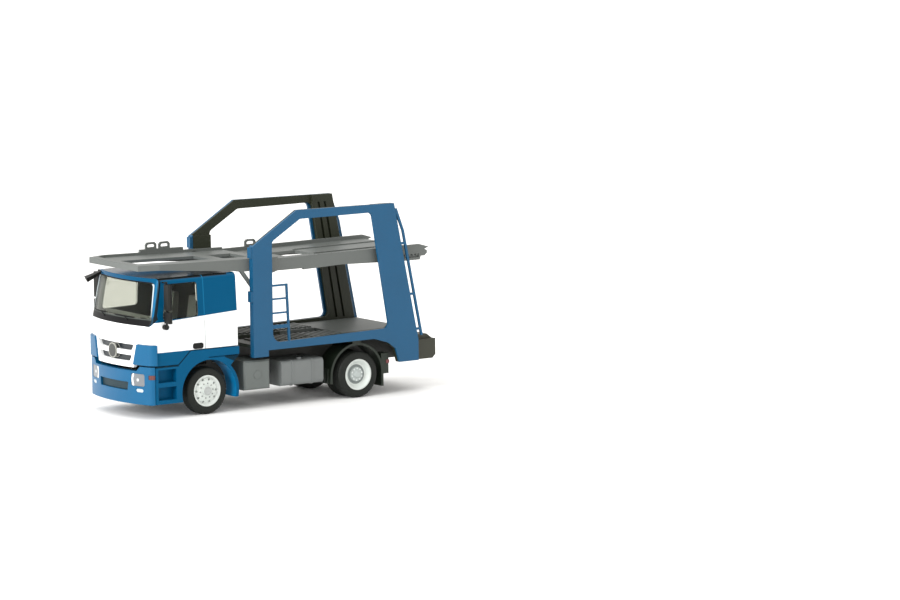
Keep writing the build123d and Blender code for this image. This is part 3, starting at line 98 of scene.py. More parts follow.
def span(tree, value, low, high, start=0.0, stop=1.0):
    """Spread a socket that runs from start to stop over a range of values."""
    spread = tree.nodes.new("ShaderNodeMapRange")
    spread.inputs["From Min"].default_value = start
    spread.inputs["From Max"].default_value = stop
    spread.inputs["To Min"].default_value = low
    spread.inputs["To Max"].default_value = high
    tree.links.new(value, spread.inputs["Value"])
    return spread.outputs["Result"]


def shade(colour, factor):
    """A colour made darker or lighter by a factor."""
    return tuple(channel * factor for channel in colour)


def moulded(
    name,
    colour,
    roughness,
    shine=0.5,
    sheen=(1.0, 1.0, 1.0),
    grain=mould_grain_scale,
    relief=mould_relief,
):
    """Moulded plastic: mottled colour, uneven gloss, soft edges, the mould's grain as relief."""
    material = bpy.data.materials.new(name)
    material.use_nodes = True
    tree = material.node_tree
    plastic = tree.nodes["Principled BSDF"]
    plastic.inputs["Specular IOR Level"].default_value = shine
    plastic.inputs["Specular Tint"].default_value = (*sheen, 1.0)
    texture = tree.nodes.new("ShaderNodeGroup")
    texture.node_tree = grain_group
    texture.inputs["Grain Scale"].default_value = grain
    dark, light = shade(colour, 1 - mottle_depth), shade(colour, 1 + mottle_depth)
    mottled = blend(tree, texture.outputs["Mottle"], dark, light)
    tree.links.new(mottled, plastic.inputs["Base Color"])
    gloss = span(tree, texture.outputs["Grain"], roughness - gloss_drift, roughness + gloss_drift)
    tree.links.new(gloss, plastic.inputs["Roughness"])
    soft_edge = tree.nodes.new("ShaderNodeBevel")
    soft_edge.samples = mould_edge_samples
    soft_edge.inputs["Radius"].default_value = mould_edge_radius
    bump = tree.nodes.new("ShaderNodeBump")
    bump.inputs["Strength"].default_value = relief_strength
    bump.inputs["Distance"].default_value = relief
    tree.links.new(texture.outputs["Grain"], bump.inputs["Height"])
    tree.links.new(soft_edge.outputs["Normal"], bump.inputs["Normal"])
    tree.links.new(bump.outputs["Normal"], plastic.inputs["Normal"])
    return material


def dress(material, *nodes):
    """Give CAD nodes a material."""
    for node in nodes:
        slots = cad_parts[node].data.materials
        slots.clear()
        slots.append(material)


chassis_grey = moulded("chassis_grey", chassis_colour, roughness=0.5)
dress(chassis_grey, "chassis", "subframe", "coupling")

# Axles: two drawn steel wires that turn in the chassis bores and carry the wheels on their ends.
# The drawing die leaves fine marks that ring the wire, close together all along it.
wire_steel = (0.46, 0.46, 0.47)
wire_roughness = (0.22, 0.4)
die_mark_scale = 2500.0
die_mark_wander = 3.0


def drawn_wire():
    """Steel whose roughness follows a wave along the axle, the die's drawing marks."""
    material = bpy.data.materials.new("drawn_wire")
    material.use_nodes = True
    tree = material.node_tree
    steel = tree.nodes["Principled BSDF"]
    steel.inputs["Base Color"].default_value = (*wire_steel, 1.0)
    steel.inputs["Metallic"].default_value = 1.0
    coords = tree.nodes.new("ShaderNodeTexCoord")
    marks = tree.nodes.new("ShaderNodeTexWave")
    marks.bands_direction = "Y"
    marks.inputs["Scale"].default_value = die_mark_scale
    marks.inputs["Distortion"].default_value = die_mark_wander
    tree.links.new(coords.outputs["Object"], marks.inputs["Vector"])
    tree.links.new(span(tree, marks.outputs["Fac"], *wire_roughness), steel.inputs["Roughness"])
    return material


dress(drawn_wire(), "front_axle_rod", "rear_axle_rod")

# Wheel discs: white polystyrene with a rolled rim, a ring of holes and a hub in the middle,
# pressed on the axle's ends. Painted shade greys the front disc's well and the rear disc's drum
# and hub. Each ring is (inner radius, outer radius, colour of the painted shade).
disc_colour = (0.62, 0.66, 0.63)
# painted shade: the shadow in the wells as greyer rings
front_well_shade = (0.0029, 0.00346, (0.56, 0.59, 0.57))
rear_drum_shade = (0.0018, 0.0024, (0.2, 0.225, 0.22))
rear_hub_shade = (0.0, 0.0018, (0.42, 0.46, 0.45))


def calc(tree, operation, first, second=0.0, third=0.0):
    """One arithmetic node on sockets or plain numbers."""
    node = tree.nodes.new("ShaderNodeMath")
    node.operation = operation
    for socket, value in zip(node.inputs, (first, second, third)):
        if isinstance(value, bpy.types.NodeSocket):
            tree.links.new(value, socket)
        else:
            socket.default_value = value
    return node.outputs["Value"]


def object_axes(tree):
    """The three object coordinates as sockets, in metres."""
    coords = tree.nodes.new("ShaderNodeTexCoord")
    axes = tree.nodes.new("ShaderNodeSeparateXYZ")
    tree.links.new(coords.outputs["Object"], axes.inputs["Vector"])
    return axes.outputs["X"], axes.outputs["Y"], axes.outputs["Z"]


def away_from(tree, first, second, centre):
    """Distance from a centre in the plane of two coordinates: the root of the summed squares."""
    across = calc(tree, "SUBTRACT", first, centre[0])
    along = calc(tree, "SUBTRACT", second, centre[1])
    across_squared = calc(tree, "MULTIPLY", across, across)
    along_squared = calc(tree, "MULTIPLY", along, along)
    return calc(tree, "SQRT", calc(tree, "ADD", across_squared, along_squared))


def inked(material, mask, colour):
    """Lay a second colour over a material's own where a mask socket is one."""
    tree = material.node_tree
    base = tree.nodes["Principled BSDF"].inputs["Base Color"]
    tree.links.new(blend(tree, mask, base.links[0].from_socket, colour), base)


def wheel_centre(node):
    """Middle of an axle's wheels, from their box."""
    low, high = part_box(node)
    return (low + high) / 2


def disc_white(name, node, shaded_rings):
    """White moulding with rings of painted shade: each lies between two radii round the axle
    line.
    """
    material = moulded(name, disc_colour, roughness=0.42, shine=0.35)
    tree = material.node_tree
    x, _, z = object_axes(tree)
    centre = wheel_centre(node)
    radius = away_from(tree, x, z, (centre.x, centre.z))
    # each ring paints the shadow in the wheel's well
    for inner, outer, grey in shaded_rings:
        ring = calc(tree, "COMPARE", radius, (inner + outer) / 2, (outer - inner) / 2)
        inked(material, ring, grey)
    return material


dress(disc_white("front_disc_white", "front_rims", [front_well_shade]), "front_rims")
dress(disc_white("rear_disc_white", "rear_rims", [rear_drum_shade, rear_hub_shade]), "rear_rims")

# Wheel nuts and hub caps: ten small domed nuts round each hub and a cap over the front ones.
# On the model they are moulded in one with the disc and picked out in grey.
# Each profile is a list of (radius, distance outwards).
nut_count = 10
nut_segments = 12
nut_grey = moulded("nut_grey", (0.27, 0.29, 0.28), roughness=0.45)
nut_pale = moulded("nut_pale", (0.68, 0.72, 0.71), roughness=0.4)
front_nut = [(0.00019, -0.0001), (0.00019, 0.00006), (0.00012, 0.00013), (0.00004, 0.00015)]
front_nut_ring = 0.00177
front_nut_y = 0.01295
front_nut_turn = math.radians(100)
rear_nut = [(0.00020, -0.0001), (0.00020, 0.0001), (0.00013, 0.00016), (0.00004, 0.00018)]
rear_nut_ring = 0.00145
rear_nut_y = 0.01255
rear_nut_turn = math.radians(94)


def place_mesh(name, points, faces, smooth=True):
    """A mesh object from points and a list of faces, its normals turned outwards."""
    mesh = bpy.data.meshes.new(name)
    mesh.from_pydata(points.reshape(-1, 3).tolist(), [], faces)
    shell = bmesh.new()
    shell.from_mesh(mesh)
    bmesh.ops.recalc_face_normals(shell, faces=shell.faces)
    shell.to_mesh(mesh)
    shell.free()
    mesh.polygons.foreach_set("use_smooth", [smooth] * len(mesh.polygons))
    mesh.update()
    piece = bpy.data.objects.new(name, mesh)
    bpy.context.scene.collection.objects.link(piece)
    return piece


def grid_quads(rows, columns, wrap_columns):
    """Quads of a grid whose rows close into a ring, and whose columns may."""
    r = np.arange(rows)[:, None]
    c = np.arange(columns if wrap_columns else columns - 1)[None, :]
    r_next, c_next = (r + 1) % rows, (c + 1) % columns
    lower = [r * columns + c, r * columns + c_next]
    upper = [r_next * columns + c_next, r_next * columns + c]
    return np.stack(np.broadcast_arrays(*lower, *upper), axis=-1).reshape(-1, 4)


def end_faces(rows, columns):
    """The two flat faces that close a grid's first and last column."""
    ring = np.arange(rows) * columns
    return np.stack([ring, ring + columns - 1])


def spun(profile, centre, side, segments):
    """Profile of (radius, distance outwards) spun round a line along Y, both ends closed flat."""
    angle = np.linspace(0.0, 2.0 * np.pi, segments, endpoint=False)[:, None]
    radius, out = np.asarray(profile).T
    points = np.stack(
        [
            centre[0] + radius * np.cos(angle),
            np.broadcast_to(centre[1] + side * out, (segments, len(radius))),
            centre[2] + radius * np.sin(angle),
        ],
        axis=-1,
    )
    size = segments, len(radius)
    return points.reshape(-1, 3), grid_quads(*size, False), end_faces(*size)


def gathered(parts):
    """Several (points, quads, end faces) joined into one, with the corners renumbered."""
    starts = np.cumsum([0] + [len(points) for points, _, _ in parts])
    points = np.concatenate([points for points, _, _ in parts])
    quads = np.concatenate([quads + start for (_, quads, _), start in zip(parts, starts)])
    ends = np.concatenate([ends + start for (_, _, ends), start in zip(parts, starts)])
    return points, quads.tolist() + ends.tolist()


def wheel_nuts(name, node, body, material, nut, ring_radius, nut_y, first_angle):
    """Ten domed nuts on a ring round the axle line, on the outer face of both wheels."""
    centre = wheel_centre(node)
    angles = first_angle + np.linspace(0.0, 2.0 * np.pi, nut_count, endpoint=False)
    nut_x = centre.x + ring_radius * np.cos(angles)
    nut_z = centre.z + ring_radius * np.sin(angles)
    parts = [
        spun(nut, (x, side * nut_y, z), side, nut_segments)
        for side in (1, -1)
        for x, z in zip(nut_x, nut_z)
    ]
    piece = place_mesh(name, *gathered(parts))
    piece.data.materials.append(material)
    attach(piece, body)


front_layout = (front_nut, front_nut_ring, front_nut_y, front_nut_turn)
rear_layout = (rear_nut, rear_nut_ring, rear_nut_y, rear_nut_turn)
wheel_nuts("front_wheel_nuts", "front_rims", "front_axle", nut_grey, *front_layout)
wheel_nuts("rear_wheel_nuts", "rear_rims", "rear_axle", nut_pale, *rear_layout)

hub_cap_grey = moulded("hub_cap_grey", (0.4, 0.42, 0.41), roughness=0.4)
hub_cap_segments = 40
hub_cap = [
    (0.00104, -0.0002),
    (0.00104, 0.00004),
    (0.00098, 0.0001),
    (0.00078, 0.00012),
    (0.00074, 0.00007),
    (0.0005, 0.00011),
    (0.00022, 0.00013),
    (0.00004, 0.00013),
]
front_centre = wheel_centre("front_rims")
front_axle_x = front_centre.x
hub_face_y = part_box("front_rims")[1].y
caps = [
    spun(hub_cap, (front_axle_x, side * hub_face_y, front_centre.z), side, hub_cap_segments)
    for side in (1, -1)
]
hub_caps = place_mesh("front_hub_caps", *gathered(caps))
hub_caps.data.materials.append(hub_cap_grey)
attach(hub_caps, "front_axle")

# Tyres: soft vinyl rings pressed over the wheel discs, single in front and twin behind.
# Their shoulders are round, a scuff rib stands on the wall, and the tread has
# three grooves with short cross cuts at both shoulders.
tyre_bead = 0.0038
tyre_shoulder = 0.0009
single_width = 0.0034
twin_width = 0.0069
twin_gap = 0.0005
twin_groove = 0.0013
scuff_rib = 0.00005
bead_recess = 0.00006
groove_depth = 0.00017
groove_share = 0.36
groove_breadth = 0.06
grooves_end_share = 0.95
cut_depth = 0.00009
cut_count = 46
cut_slant = 2.0
cut_wave_level = 0.3
cuts_from_share = 0.52
off_tread_share = 2.0
wall_steps = 14
shoulder_steps = 9
tread_steps = 33
tyre_segments = 184
tyre_vinyl = moulded(
    "tyre_vinyl",
    (0.0068, 0.0088, 0.0066),
    roughness=0.58,
    shine=0.3,
    grain=6000.0,
    relief=0.00002,
)


def bell(value, middle, width):
    """Bell curve: one at the middle, falling off with the square of the distance from it."""
    return np.exp(-(((value - middle) / width) ** 2))


def tread_line(back, face, outer):
    """One tyre's tread: a quarter round, a straight run and a quarter round.

    Given as (across, radius, share), the share being minus one to one over the tyre's width.
    """
    turn = np.linspace(0.0, np.pi / 2, shoulder_steps)
    rise = outer - tyre_shoulder + tyre_shoulder * np.sin(turn)
    run = tyre_shoulder * (1 - np.cos(turn))
    flat = np.linspace(back + tyre_shoulder, face - tyre_shoulder, tread_steps)[1:-1]
    across = np.concatenate([back + run, flat, (face - run)[::-1]])
    radius = np.concatenate([rise, np.full(flat.shape, outer), rise[::-1]])
    return across, radius, (2 * across - back - face) / (face - back)


def tyre_surface(centre, back, face, outer, twin):
    """Tyre: a closed section carried round the axle line.

    The section runs up one wall, over the tread and down the other; twin treads meet in a groove.
    Bell curves across the tread and a sine round the tyre lower the radius for grooves and cuts,
    and two bell curves up the wall make its scuff rib and the recess at the bead.
    """
    wall = np.linspace(0.0, 1.0, wall_steps)[:-1]
    wall_radius = tyre_bead + wall * (outer - tyre_shoulder - tyre_bead)
    bulge = scuff_rib * bell(wall, 0.62, 0.1) - bead_recess * bell(wall, 0.1, 0.09)
    wall_share = np.full(wall.shape, off_tread_share)
    if twin:
        middle, half_gap = (back + face) / 2, twin_gap / 2
        gap = np.array([middle - half_gap, middle + half_gap])
        gap_floor = gap, np.full(2, outer - twin_groove), np.full(2, off_tread_share)
        treads = [tread_line(back, gap[0], outer), gap_floor, tread_line(gap[1], face, outer)]
    else:
        treads = [tread_line(back, face, outer)]
    back_wall = back - bulge, wall_radius, wall_share
    face_wall = (face + bulge)[::-1], wall_radius[::-1], wall_share
    columns = zip(back_wall, *treads, face_wall)
    across, radius, share = (np.concatenate(column)[None, :] for column in columns)
    angle = np.linspace(0.0, 2.0 * np.pi, tyre_segments, endpoint=False)[:, None]
    from_middle = np.abs(share)
    groove = bell(from_middle, groove_share, groove_breadth) + bell(share, 0.0, groove_breadth)
    grooved = (from_middle < grooves_end_share) * np.clip(groove, 0, 1)
    shoulder = (from_middle > cuts_from_share) * (from_middle < 1.0)
    cuts = shoulder * (np.sin(angle * cut_count + cut_slant * share) > cut_wave_level)
    reach = radius - groove_depth * grooved - cut_depth * cuts
    points = np.stack(
        [
            centre.x + reach * np.cos(angle),
            np.broadcast_to(across, reach.shape),
            centre.z + reach * np.sin(angle),
        ],
        axis=-1,
    )
    no_ends = np.empty((0, 4), dtype=int)
    return points.reshape(-1, 3), grid_quads(*reach.shape, True), no_ends


def fit_tyres(node, body, width, twin):
    """Shaped tyres on both ends of an axle, in place of the plain rings."""
    low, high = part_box(node)
    centre, outer = (low + high) / 2, (high.z - low.z) / 2
    left = tyre_surface(centre, high.y - width, high.y, outer, twin)
    right = tyre_surface(centre, -high.y, width - high.y, outer, twin)
    piece = place_mesh(f"{node}_shaped", *gathered([left, right]))
    piece.data.materials.append(tyre_vinyl)
    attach(piece, body)
    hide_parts(node)


fit_tyres("front_tyres", "front_axle", single_width, False)
fit_tyres("rear_tyres", "rear_axle", twin_width, True)

# Battery boxes and tanks: grey mouldings hung on the chassis rails between the axles.
# The tanks have two raised straps and a cap, the boxes a round mark of the ejector pin.
dress(moulded("box_grey", (0.115, 0.13, 0.124), roughness=0.5), "battery_boxes")
dress(moulded("tank_grey", (0.146, 0.158, 0.156), roughness=0.42), "fuel_tanks")

# Rear mudguards: black mouldings over the twin wheels with a long flap behind.
# A carrier on the flap holds the rear lamps, which are printed red.
mudguard_colour = (0.0105, 0.0175, 0.0105)
dress(moulded("mudguard_black", mudguard_colour, roughness=0.42, shine=0.4), "rear_mudguards")
flute_scale = 900.0
flute_relief = 0.00004


def lens_print(name, colour):
    """Printed lens: colour that varies with fine upright flutes, under a clear coat."""
    material = bpy.data.materials.new(name)
    material.use_nodes = True
    tree = material.node_tree
    lens = tree.nodes["Principled BSDF"]
    lens.inputs["Coat Weight"].default_value = 0.5
    lens.inputs["Roughness"].default_value = 0.3
    coords = tree.nodes.new("ShaderNodeTexCoord")
    flutes = tree.nodes.new("ShaderNodeTexWave")
    flutes.bands_direction = "Y"
    flutes.inputs["Scale"].default_value = flute_scale
    tree.links.new(coords.outputs["Object"], flutes.inputs["Vector"])
    fluted = blend(tree, flutes.outputs["Fac"], shade(colour, 0.8), shade(colour, 1.15))
    tree.links.new(fluted, lens.inputs["Base Color"])
    bump = tree.nodes.new("ShaderNodeBump")
    bump.inputs["Distance"].default_value = flute_relief
    tree.links.new(flutes.outputs["Fac"], bump.inputs["Height"])
    tree.links.new(bump.outputs["Normal"], lens.inputs["Normal"])
    return material


dress(lens_print("lens_red", (0.14, 0.008, 0.012)), "rear_lamps")

# Front mudguards: step block, wheel arch and rear fender in one blue moulding.
# It is pushed on from below and its outer faces are lacquered with the cab. The shadow in the
# gaps above the steps, along the seam and over the fender is painted shade, and the fender's
# inner face that looks forward gets painted light.
body_blue = (0.0004, 0.066, 0.152)
blue_sheen = (0.09, 0.3, 0.5)
# painted shade for gaps and seams
painted_gap_shade = (0.0015, 0.012, 0.022)
seam_foot_x = front_axle_x + 0.0084
seam_foot_z = 0.0129
seam_lean = 0.0032 / 0.00295
seam_half = 0.0002
step_gap_z = 0.01245
hollow_from_x = front_axle_x - 0.005
hollow_facing = 0.2
wedge_from_x = front_axle_x - 0.0046
wedge_z = 0.0135
wedge_fall = 0.45
sill_foot_z = 0.01385


def above(tree, value, limit):
    """One where a value lies over a limit."""
    return calc(tree, "GREATER_THAN", value, limit)


def below(tree, value, limit):
    """One where a value lies under a limit."""
    return calc(tree, "LESS_THAN", value, limit)


def both(tree, *masks):
    """Product of several masks."""
    product = masks[0]
    for mask in masks[1:]:
        product = calc(tree, "MULTIPLY", product, mask)
    return product


def near_seam(tree, x, z):
    """One in a thin strip along the slanting seam between the cab's skirt and the mudguard."""
    over_foot = calc(tree, "SUBTRACT", z, seam_foot_z)
    seam_x = calc(tree, "MULTIPLY_ADD", over_foot, -seam_lean, seam_foot_x)
    return both(tree, calc(tree, "COMPARE", x, seam_x, seam_half), above(tree, z, seam_foot_z))


def mudguard_blue():
    """Body blue with painted light on the fender's inner faces that look forward, painted shade
    in the gaps.
    """
    material = moulded("mudguard_blue", shade(body_blue, 1.06), roughness=0.34, sheen=blue_sheen)
    tree = material.node_tree
    x, _, z = object_axes(tree)
    # painted light: faces behind the arch that look forward are made paler, as if lit from the
    # front
    coords = tree.nodes.new("ShaderNodeTexCoord")
    facing = tree.nodes.new("ShaderNodeSeparateXYZ")
    tree.links.new(coords.outputs["Normal"], facing.inputs["Vector"])
    looks_forward = above(tree, facing.outputs["X"], hollow_facing)
    lit_hollow = both(tree, looks_forward, below(tree, x, hollow_from_x))
    inked(material, lit_hollow, shade(body_blue, 2.2))
    # painted shade: the gap above the steps, the seam and the wedge over the fender are made dark
    step_gap_shade = both(tree, above(tree, z, step_gap_z), above(tree, x, seam_foot_x))
    inked(material, step_gap_shade, painted_gap_shade)
    inked(material, near_seam(tree, x, z), painted_gap_shade)
    behind = calc(tree, "SUBTRACT", wedge_from_x, x)
    fender_top = calc(tree, "MULTIPLY_ADD", behind, -wedge_fall, wedge_z)
    fender_wedge_shade = both(tree, above(tree, z, fender_top), below(tree, z, sill_foot_z))
    inked(material, both(tree, fender_wedge_shade, above(tree, behind, 0.0)), painted_gap_shade)
    return material


dress(mudguard_blue(), "front_mudguards")

# Bumper and corner panels: satin blue mouldings clipped to the cab's front.
# The intake in the bumper's middle is a dark grey insert with fine bars across.
bumper_sheen = (0.5, 0.7, 0.9)
bumper_blue = moulded("bumper_blue", shade(body_blue, 1.25), roughness=0.36, sheen=bumper_sheen)
dress(bumper_blue, "bumper", "corner_panels")
intake_bar_pitch = 0.00045
intake_bar_level = 0.35


def intake_bars():
    """Grey-green plastic with lying bars: a sine of the height picks out the bars' colour."""
    material = moulded("intake_grey", (0.013, 0.034, 0.045), roughness=0.5, shine=0.25)
    tree = material.node_tree
    _, _, z = object_axes(tree)
    wave = calc(tree, "SINE", calc(tree, "MULTIPLY", z, 2.0 * math.pi / intake_bar_pitch))
    inked(material, above(tree, wave, intake_bar_level), (0.014, 0.028, 0.034))
    return material


dress(intake_bars(), "bumper_intake")

# Lamps in the bumper: clear mouldings over a silver print, with a dished reflector behind each,
# whose glints are painted on the lens: a painted highlight and a painted crescent of reflection.
# The fog lamps below are printed silver, the side markers a dark red.
lamp_silver = (0.14, 0.154, 0.168)
lamp_centre = (0.00955, 0.00945)
# radii of the painted highlight
lamp_glint_radii = (0.0001, 0.00048)
bowl_centre = (lamp_centre[0] + 0.0006, lamp_centre[1])
bowl_radius = 0.0024
glint_crescent_half = 0.00024
glint_crescent_to_y = 0.0083
fog_lamp_top_z = 0.0077


def headlamp_lens():
    """Silver-grey lens: a painted highlight in the reflector's middle, a painted crescent of
    reflection inboard.
    """
    material = lens_print("headlamp_lens", lamp_silver)
    tree = material.node_tree
    _, y, z = object_axes(tree)
    out = calc(tree, "ABSOLUTE", y)
    # painted highlight: a bright spot that fades out from the reflector's middle
    spot = away_from(tree, out, z, lamp_centre)
    inked(material, span(tree, spot, 1.0, 0.0, *lamp_glint_radii), (0.75, 0.77, 0.77))
    # painted reflection: a bright crescent along the reflector's edge, inboard
    bowl = away_from(tree, out, z, bowl_centre)
    bowl_edge = calc(tree, "COMPARE", bowl, bowl_radius, glint_crescent_half)
    inked(material, both(tree, bowl_edge, below(tree, out, glint_crescent_to_y)), (0.92, 0.94, 0.94))
    inked(material, below(tree, z, fog_lamp_top_z), (0.42, 0.5, 0.56))
    return material


dress(headlamp_lens(), "headlamps")
dress(lens_print("lens_marker", (0.1, 0.013, 0.009)), "marker_lamps")

# Cab shell: one blue moulding, the white band printed round its middle and the whole lacquered.
# The band's upper edge rises slightly to the rear, and the seal beside the windscreen is printed
# black.
# The line over the door is painted shade in black, the upper deck's shadow on the roof's edge,
# and the skirt's seams get painted shade too. Inside, the shell's faces get painted shade in a
# dark grey-green, and they are pale at the front pillars.
cab_low, cab_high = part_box("cab_shell")
print_white = (0.93, 0.94, 0.94)
print_and_shade_black = (0.008, 0.009, 0.009)
band_foot_z = 0.0161
belt_z = 0.02325
belt_rise = 0.054
belt_from_x = front_axle_x + 0.0152
seal_x = front_axle_x + 0.01429
seal_lean = 0.182
seal_from_z = 0.02585
seal_half = 0.0003
seal_thin_z = 0.025
seal_widening = 0.34
seal_foot_z = 0.0223
seal_from_y = 0.0118
corner_from_y = 0.0127
corner_rounding = 900.0
# where the painted shade on the roof's edge lies
roof_shade_z = 0.0332
roof_shade_from_y = 0.0105
roof_shade_rear_x = front_axle_x - 0.006
roof_shade_front_x = front_axle_x + 0.0128
skirt_line_z = 0.01596
skirt_line_half = 0.00013
skirt_line_front_x = front_axle_x + 0.0052
skirt_from_y = 0.0125
door_gap_x = front_axle_x + 0.001
door_gap_half = 0.00013
door_gap_blue = (0.006, 0.12, 0.25)
# painted shade on the faces inside the shell
inside_shade = (0.085, 0.1, 0.086)
pillar_from_x = front_axle_x + 0.0115
pillar_pale = (0.75, 0.8, 0.76)


def facing_in(tree, middle):
    """One where a face looks towards the shell's middle.

    There the face's normal against the line from the middle is negative.
    """
    coords = tree.nodes.new("ShaderNodeTexCoord")
    from_middle = tree.nodes.new("ShaderNodeVectorMath")
    from_middle.operation = "SUBTRACT"
    from_middle.inputs[1].default_value = middle
    tree.links.new(coords.outputs["Object"], from_middle.inputs[0])
    dot = tree.nodes.new("ShaderNodeVectorMath")
    dot.operation = "DOT_PRODUCT"
    tree.links.new(coords.outputs["Normal"], dot.inputs[0])
    tree.links.new(from_middle.outputs["Vector"], dot.inputs[1])
    return below(tree, dot.outputs["Value"], 0.0)


def seal_strip(tree, x, out, z):
    """One in the leaning strip beside the windscreen, wider below and rounded off at its foot."""
    over_start = calc(tree, "SUBTRACT", z, seal_from_z)
    middle_x = calc(tree, "MULTIPLY_ADD", over_start, -seal_lean, seal_x)
    from_middle = calc(tree, "ABSOLUTE", calc(tree, "SUBTRACT", x, middle_x))
    under_thin = calc(tree, "SUBTRACT", seal_thin_z, z)
    half = calc(tree, "MULTIPLY_ADD", under_thin, seal_widening, seal_half)
    past_corner = calc(tree, "MAXIMUM", calc(tree, "SUBTRACT", out, corner_from_y), 0.0)
    round_corner = calc(tree, "POWER", past_corner, 2.0)
    foot = calc(tree, "MULTIPLY_ADD", round_corner, corner_rounding, seal_foot_z)
    return both(
        tree,
        below(tree, from_middle, calc(tree, "MAXIMUM", half, seal_half)),
        above(tree, z, foot),
        above(tree, out, seal_from_y),
    )


def cab_lacquer():
    """Blue lacquer, white between sill and a rising line, black print at the screen's corners;
    painted shade on the roof's edge, in the skirt's seams and inside.
    """
    material = moulded(
        "cab_lacquer", body_blue, roughness=0.16, sheen=blue_sheen, grain=5000.0, relief=0.000002
    )
    tree = material.node_tree
    x, y, z = object_axes(tree)
    out = calc(tree, "ABSOLUTE", y)
    line = calc(tree, "MULTIPLY_ADD", calc(tree, "SUBTRACT", belt_from_x, x), belt_rise, belt_z)
    band = both(tree, below(tree, z, line), above(tree, z, band_foot_z))
    inked(material, band, print_white)
    inked(material, seal_strip(tree, x, out, z), print_and_shade_black)
    # painted shade: the upper deck's shadow on the roof's edge over the door, in black
    roof_edge_shade = both(
        tree,
        above(tree, z, roof_shade_z),
        above(tree, out, roof_shade_from_y),
        above(tree, x, roof_shade_rear_x),
        below(tree, x, roof_shade_front_x),
    )
    inked(material, roof_edge_shade, print_and_shade_black)
    # painted shade in the seam along the skirt and in the slanting seam to the mudguard
    skirt_line_shade = both(
        tree,
        calc(tree, "COMPARE", z, skirt_line_z, skirt_line_half),
        below(tree, x, skirt_line_front_x),
        above(tree, out, skirt_from_y),
    )
    inked(material, skirt_line_shade, painted_gap_shade)
    skirt_seam_shade = both(tree, near_seam(tree, x, z), below(tree, z, band_foot_z))
    inked(material, skirt_seam_shade, painted_gap_shade)
    door_gap = calc(tree, "COMPARE", x, door_gap_x, door_gap_half)
    inked(material, both(tree, door_gap, above(tree, z, line)), door_gap_blue)
    # painted shade on the faces that look into the shell
    inside = facing_in(tree, (cab_low + cab_high) / 2)
    inked(material, inside, inside_shade)
    inked(material, both(tree, inside, above(tree, x, pillar_from_x)), pillar_pale)
    return material


dress(cab_lacquer(), "cab_shell")

# Front panel: the white flap over the radiator, with two slots; the black grille lies behind it.
# A plain disc with a silver edge sits between the slots.
panel_white = moulded(
    "panel_white", print_white, roughness=0.24, shine=0.25, grain=5000.0, relief=0.000002
)
dress(panel_white, "front_panel")
disc_centre_z = 0.0157
disc_radius = 0.0016
disc_edge_radius = 0.0017
disc_edge_half = 0.0001


def grille_print():
    """Black plastic with a grey disc and a silver ring round it."""
    material = moulded("grille_black", (0.014, 0.018, 0.022), roughness=0.35)
    tree = material.node_tree
    _, y, z = object_axes(tree)
    from_disc = away_from(tree, y, z, (0.0, disc_centre_z))
    disc_edge = calc(tree, "COMPARE", from_disc, disc_edge_radius, disc_edge_half)
    inked(material, disc_edge, (0.34, 0.34, 0.3))
    inked(material, below(tree, from_disc, disc_radius), (0.035, 0.037, 0.033))
    return material


dress(grille_print(), "grille")

# Cab interior: floor tray with seats and dashboard in one grey moulding, which is
# pushed up into the shell from below. The steering wheel is black and pressed in.
dress(moulded("inside_grey", (0.24, 0.26, 0.235), roughness=0.6), "cab_interior")
dress(moulded("wheel_black", (0.014, 0.014, 0.014), roughness=0.5), "steering_wheel")

# Windscreen surround: a black print on the glazing, a broad band at the foot and a thin one
# at the head. Up the sides a painted reflection makes the clear moulding's edge bright.
surround_black = (0.0042, 0.0042, 0.0046)
foot_print_z = 0.02385
head_print_z = 0.03235
smoky_rim = (0.05, 0.058, 0.053)
edge_reflection = (0.46, 0.52, 0.53)
edge_reflection_y = 0.0117
edge_reflection_z = 0.0246
edge_reflection_full_z = 0.0275


def surround_print():
    """Black print at the foot and head, a smoky rim above the foot, a painted reflection up the
    sides.
    """
    material = moulded("surround_black", surround_black, roughness=0.4, shine=0.12)
    tree = material.node_tree
    _, y, z = object_axes(tree)
    out = calc(tree, "ABSOLUTE", y)
    inked(material, above(tree, z, foot_print_z), smoky_rim)
    # painted reflection: the edge up the sides turns pale, fading in with height
    edge = both(tree, above(tree, z, edge_reflection_z), above(tree, out, edge_reflection_y))
    fade = both(tree, edge, span(tree, z, 0.25, 1.0, edge_reflection_z, edge_reflection_full_z))
    inked(material, fade, edge_reflection)
    inked(material, above(tree, z, head_print_z), surround_black)
    return material


dress(surround_print(), "windscreen_frame")

# Glazing: the windscreen and the door windows, clear polystyrene with a smoky tint.
# The panes are pushed into the cab's openings from inside.
glazing_ior = 1.2
glazing_roughness = (0.0, 0.05)


def glazing(name, tint):
    """Clear plastic whose roughness drifts a little with the flow of the melt."""
    material = bpy.data.materials.new(name)
    material.use_nodes = True
    tree = material.node_tree
    pane = tree.nodes["Principled BSDF"]
    pane.inputs["Base Color"].default_value = (*tint, 1.0)
    pane.inputs["Transmission Weight"].default_value = 1.0
    pane.inputs["IOR"].default_value = glazing_ior
    texture = tree.nodes.new("ShaderNodeGroup")
    texture.node_tree = grain_group
    flow = span(tree, texture.outputs["Mottle"], *glazing_roughness)
    tree.links.new(flow, pane.inputs["Roughness"])
    return material


dress(glazing("windscreen_clear", (0.68, 0.69, 0.64)), "windscreen")
dress(glazing("window_clear", (0.66, 0.67, 0.62)), "door_windows")

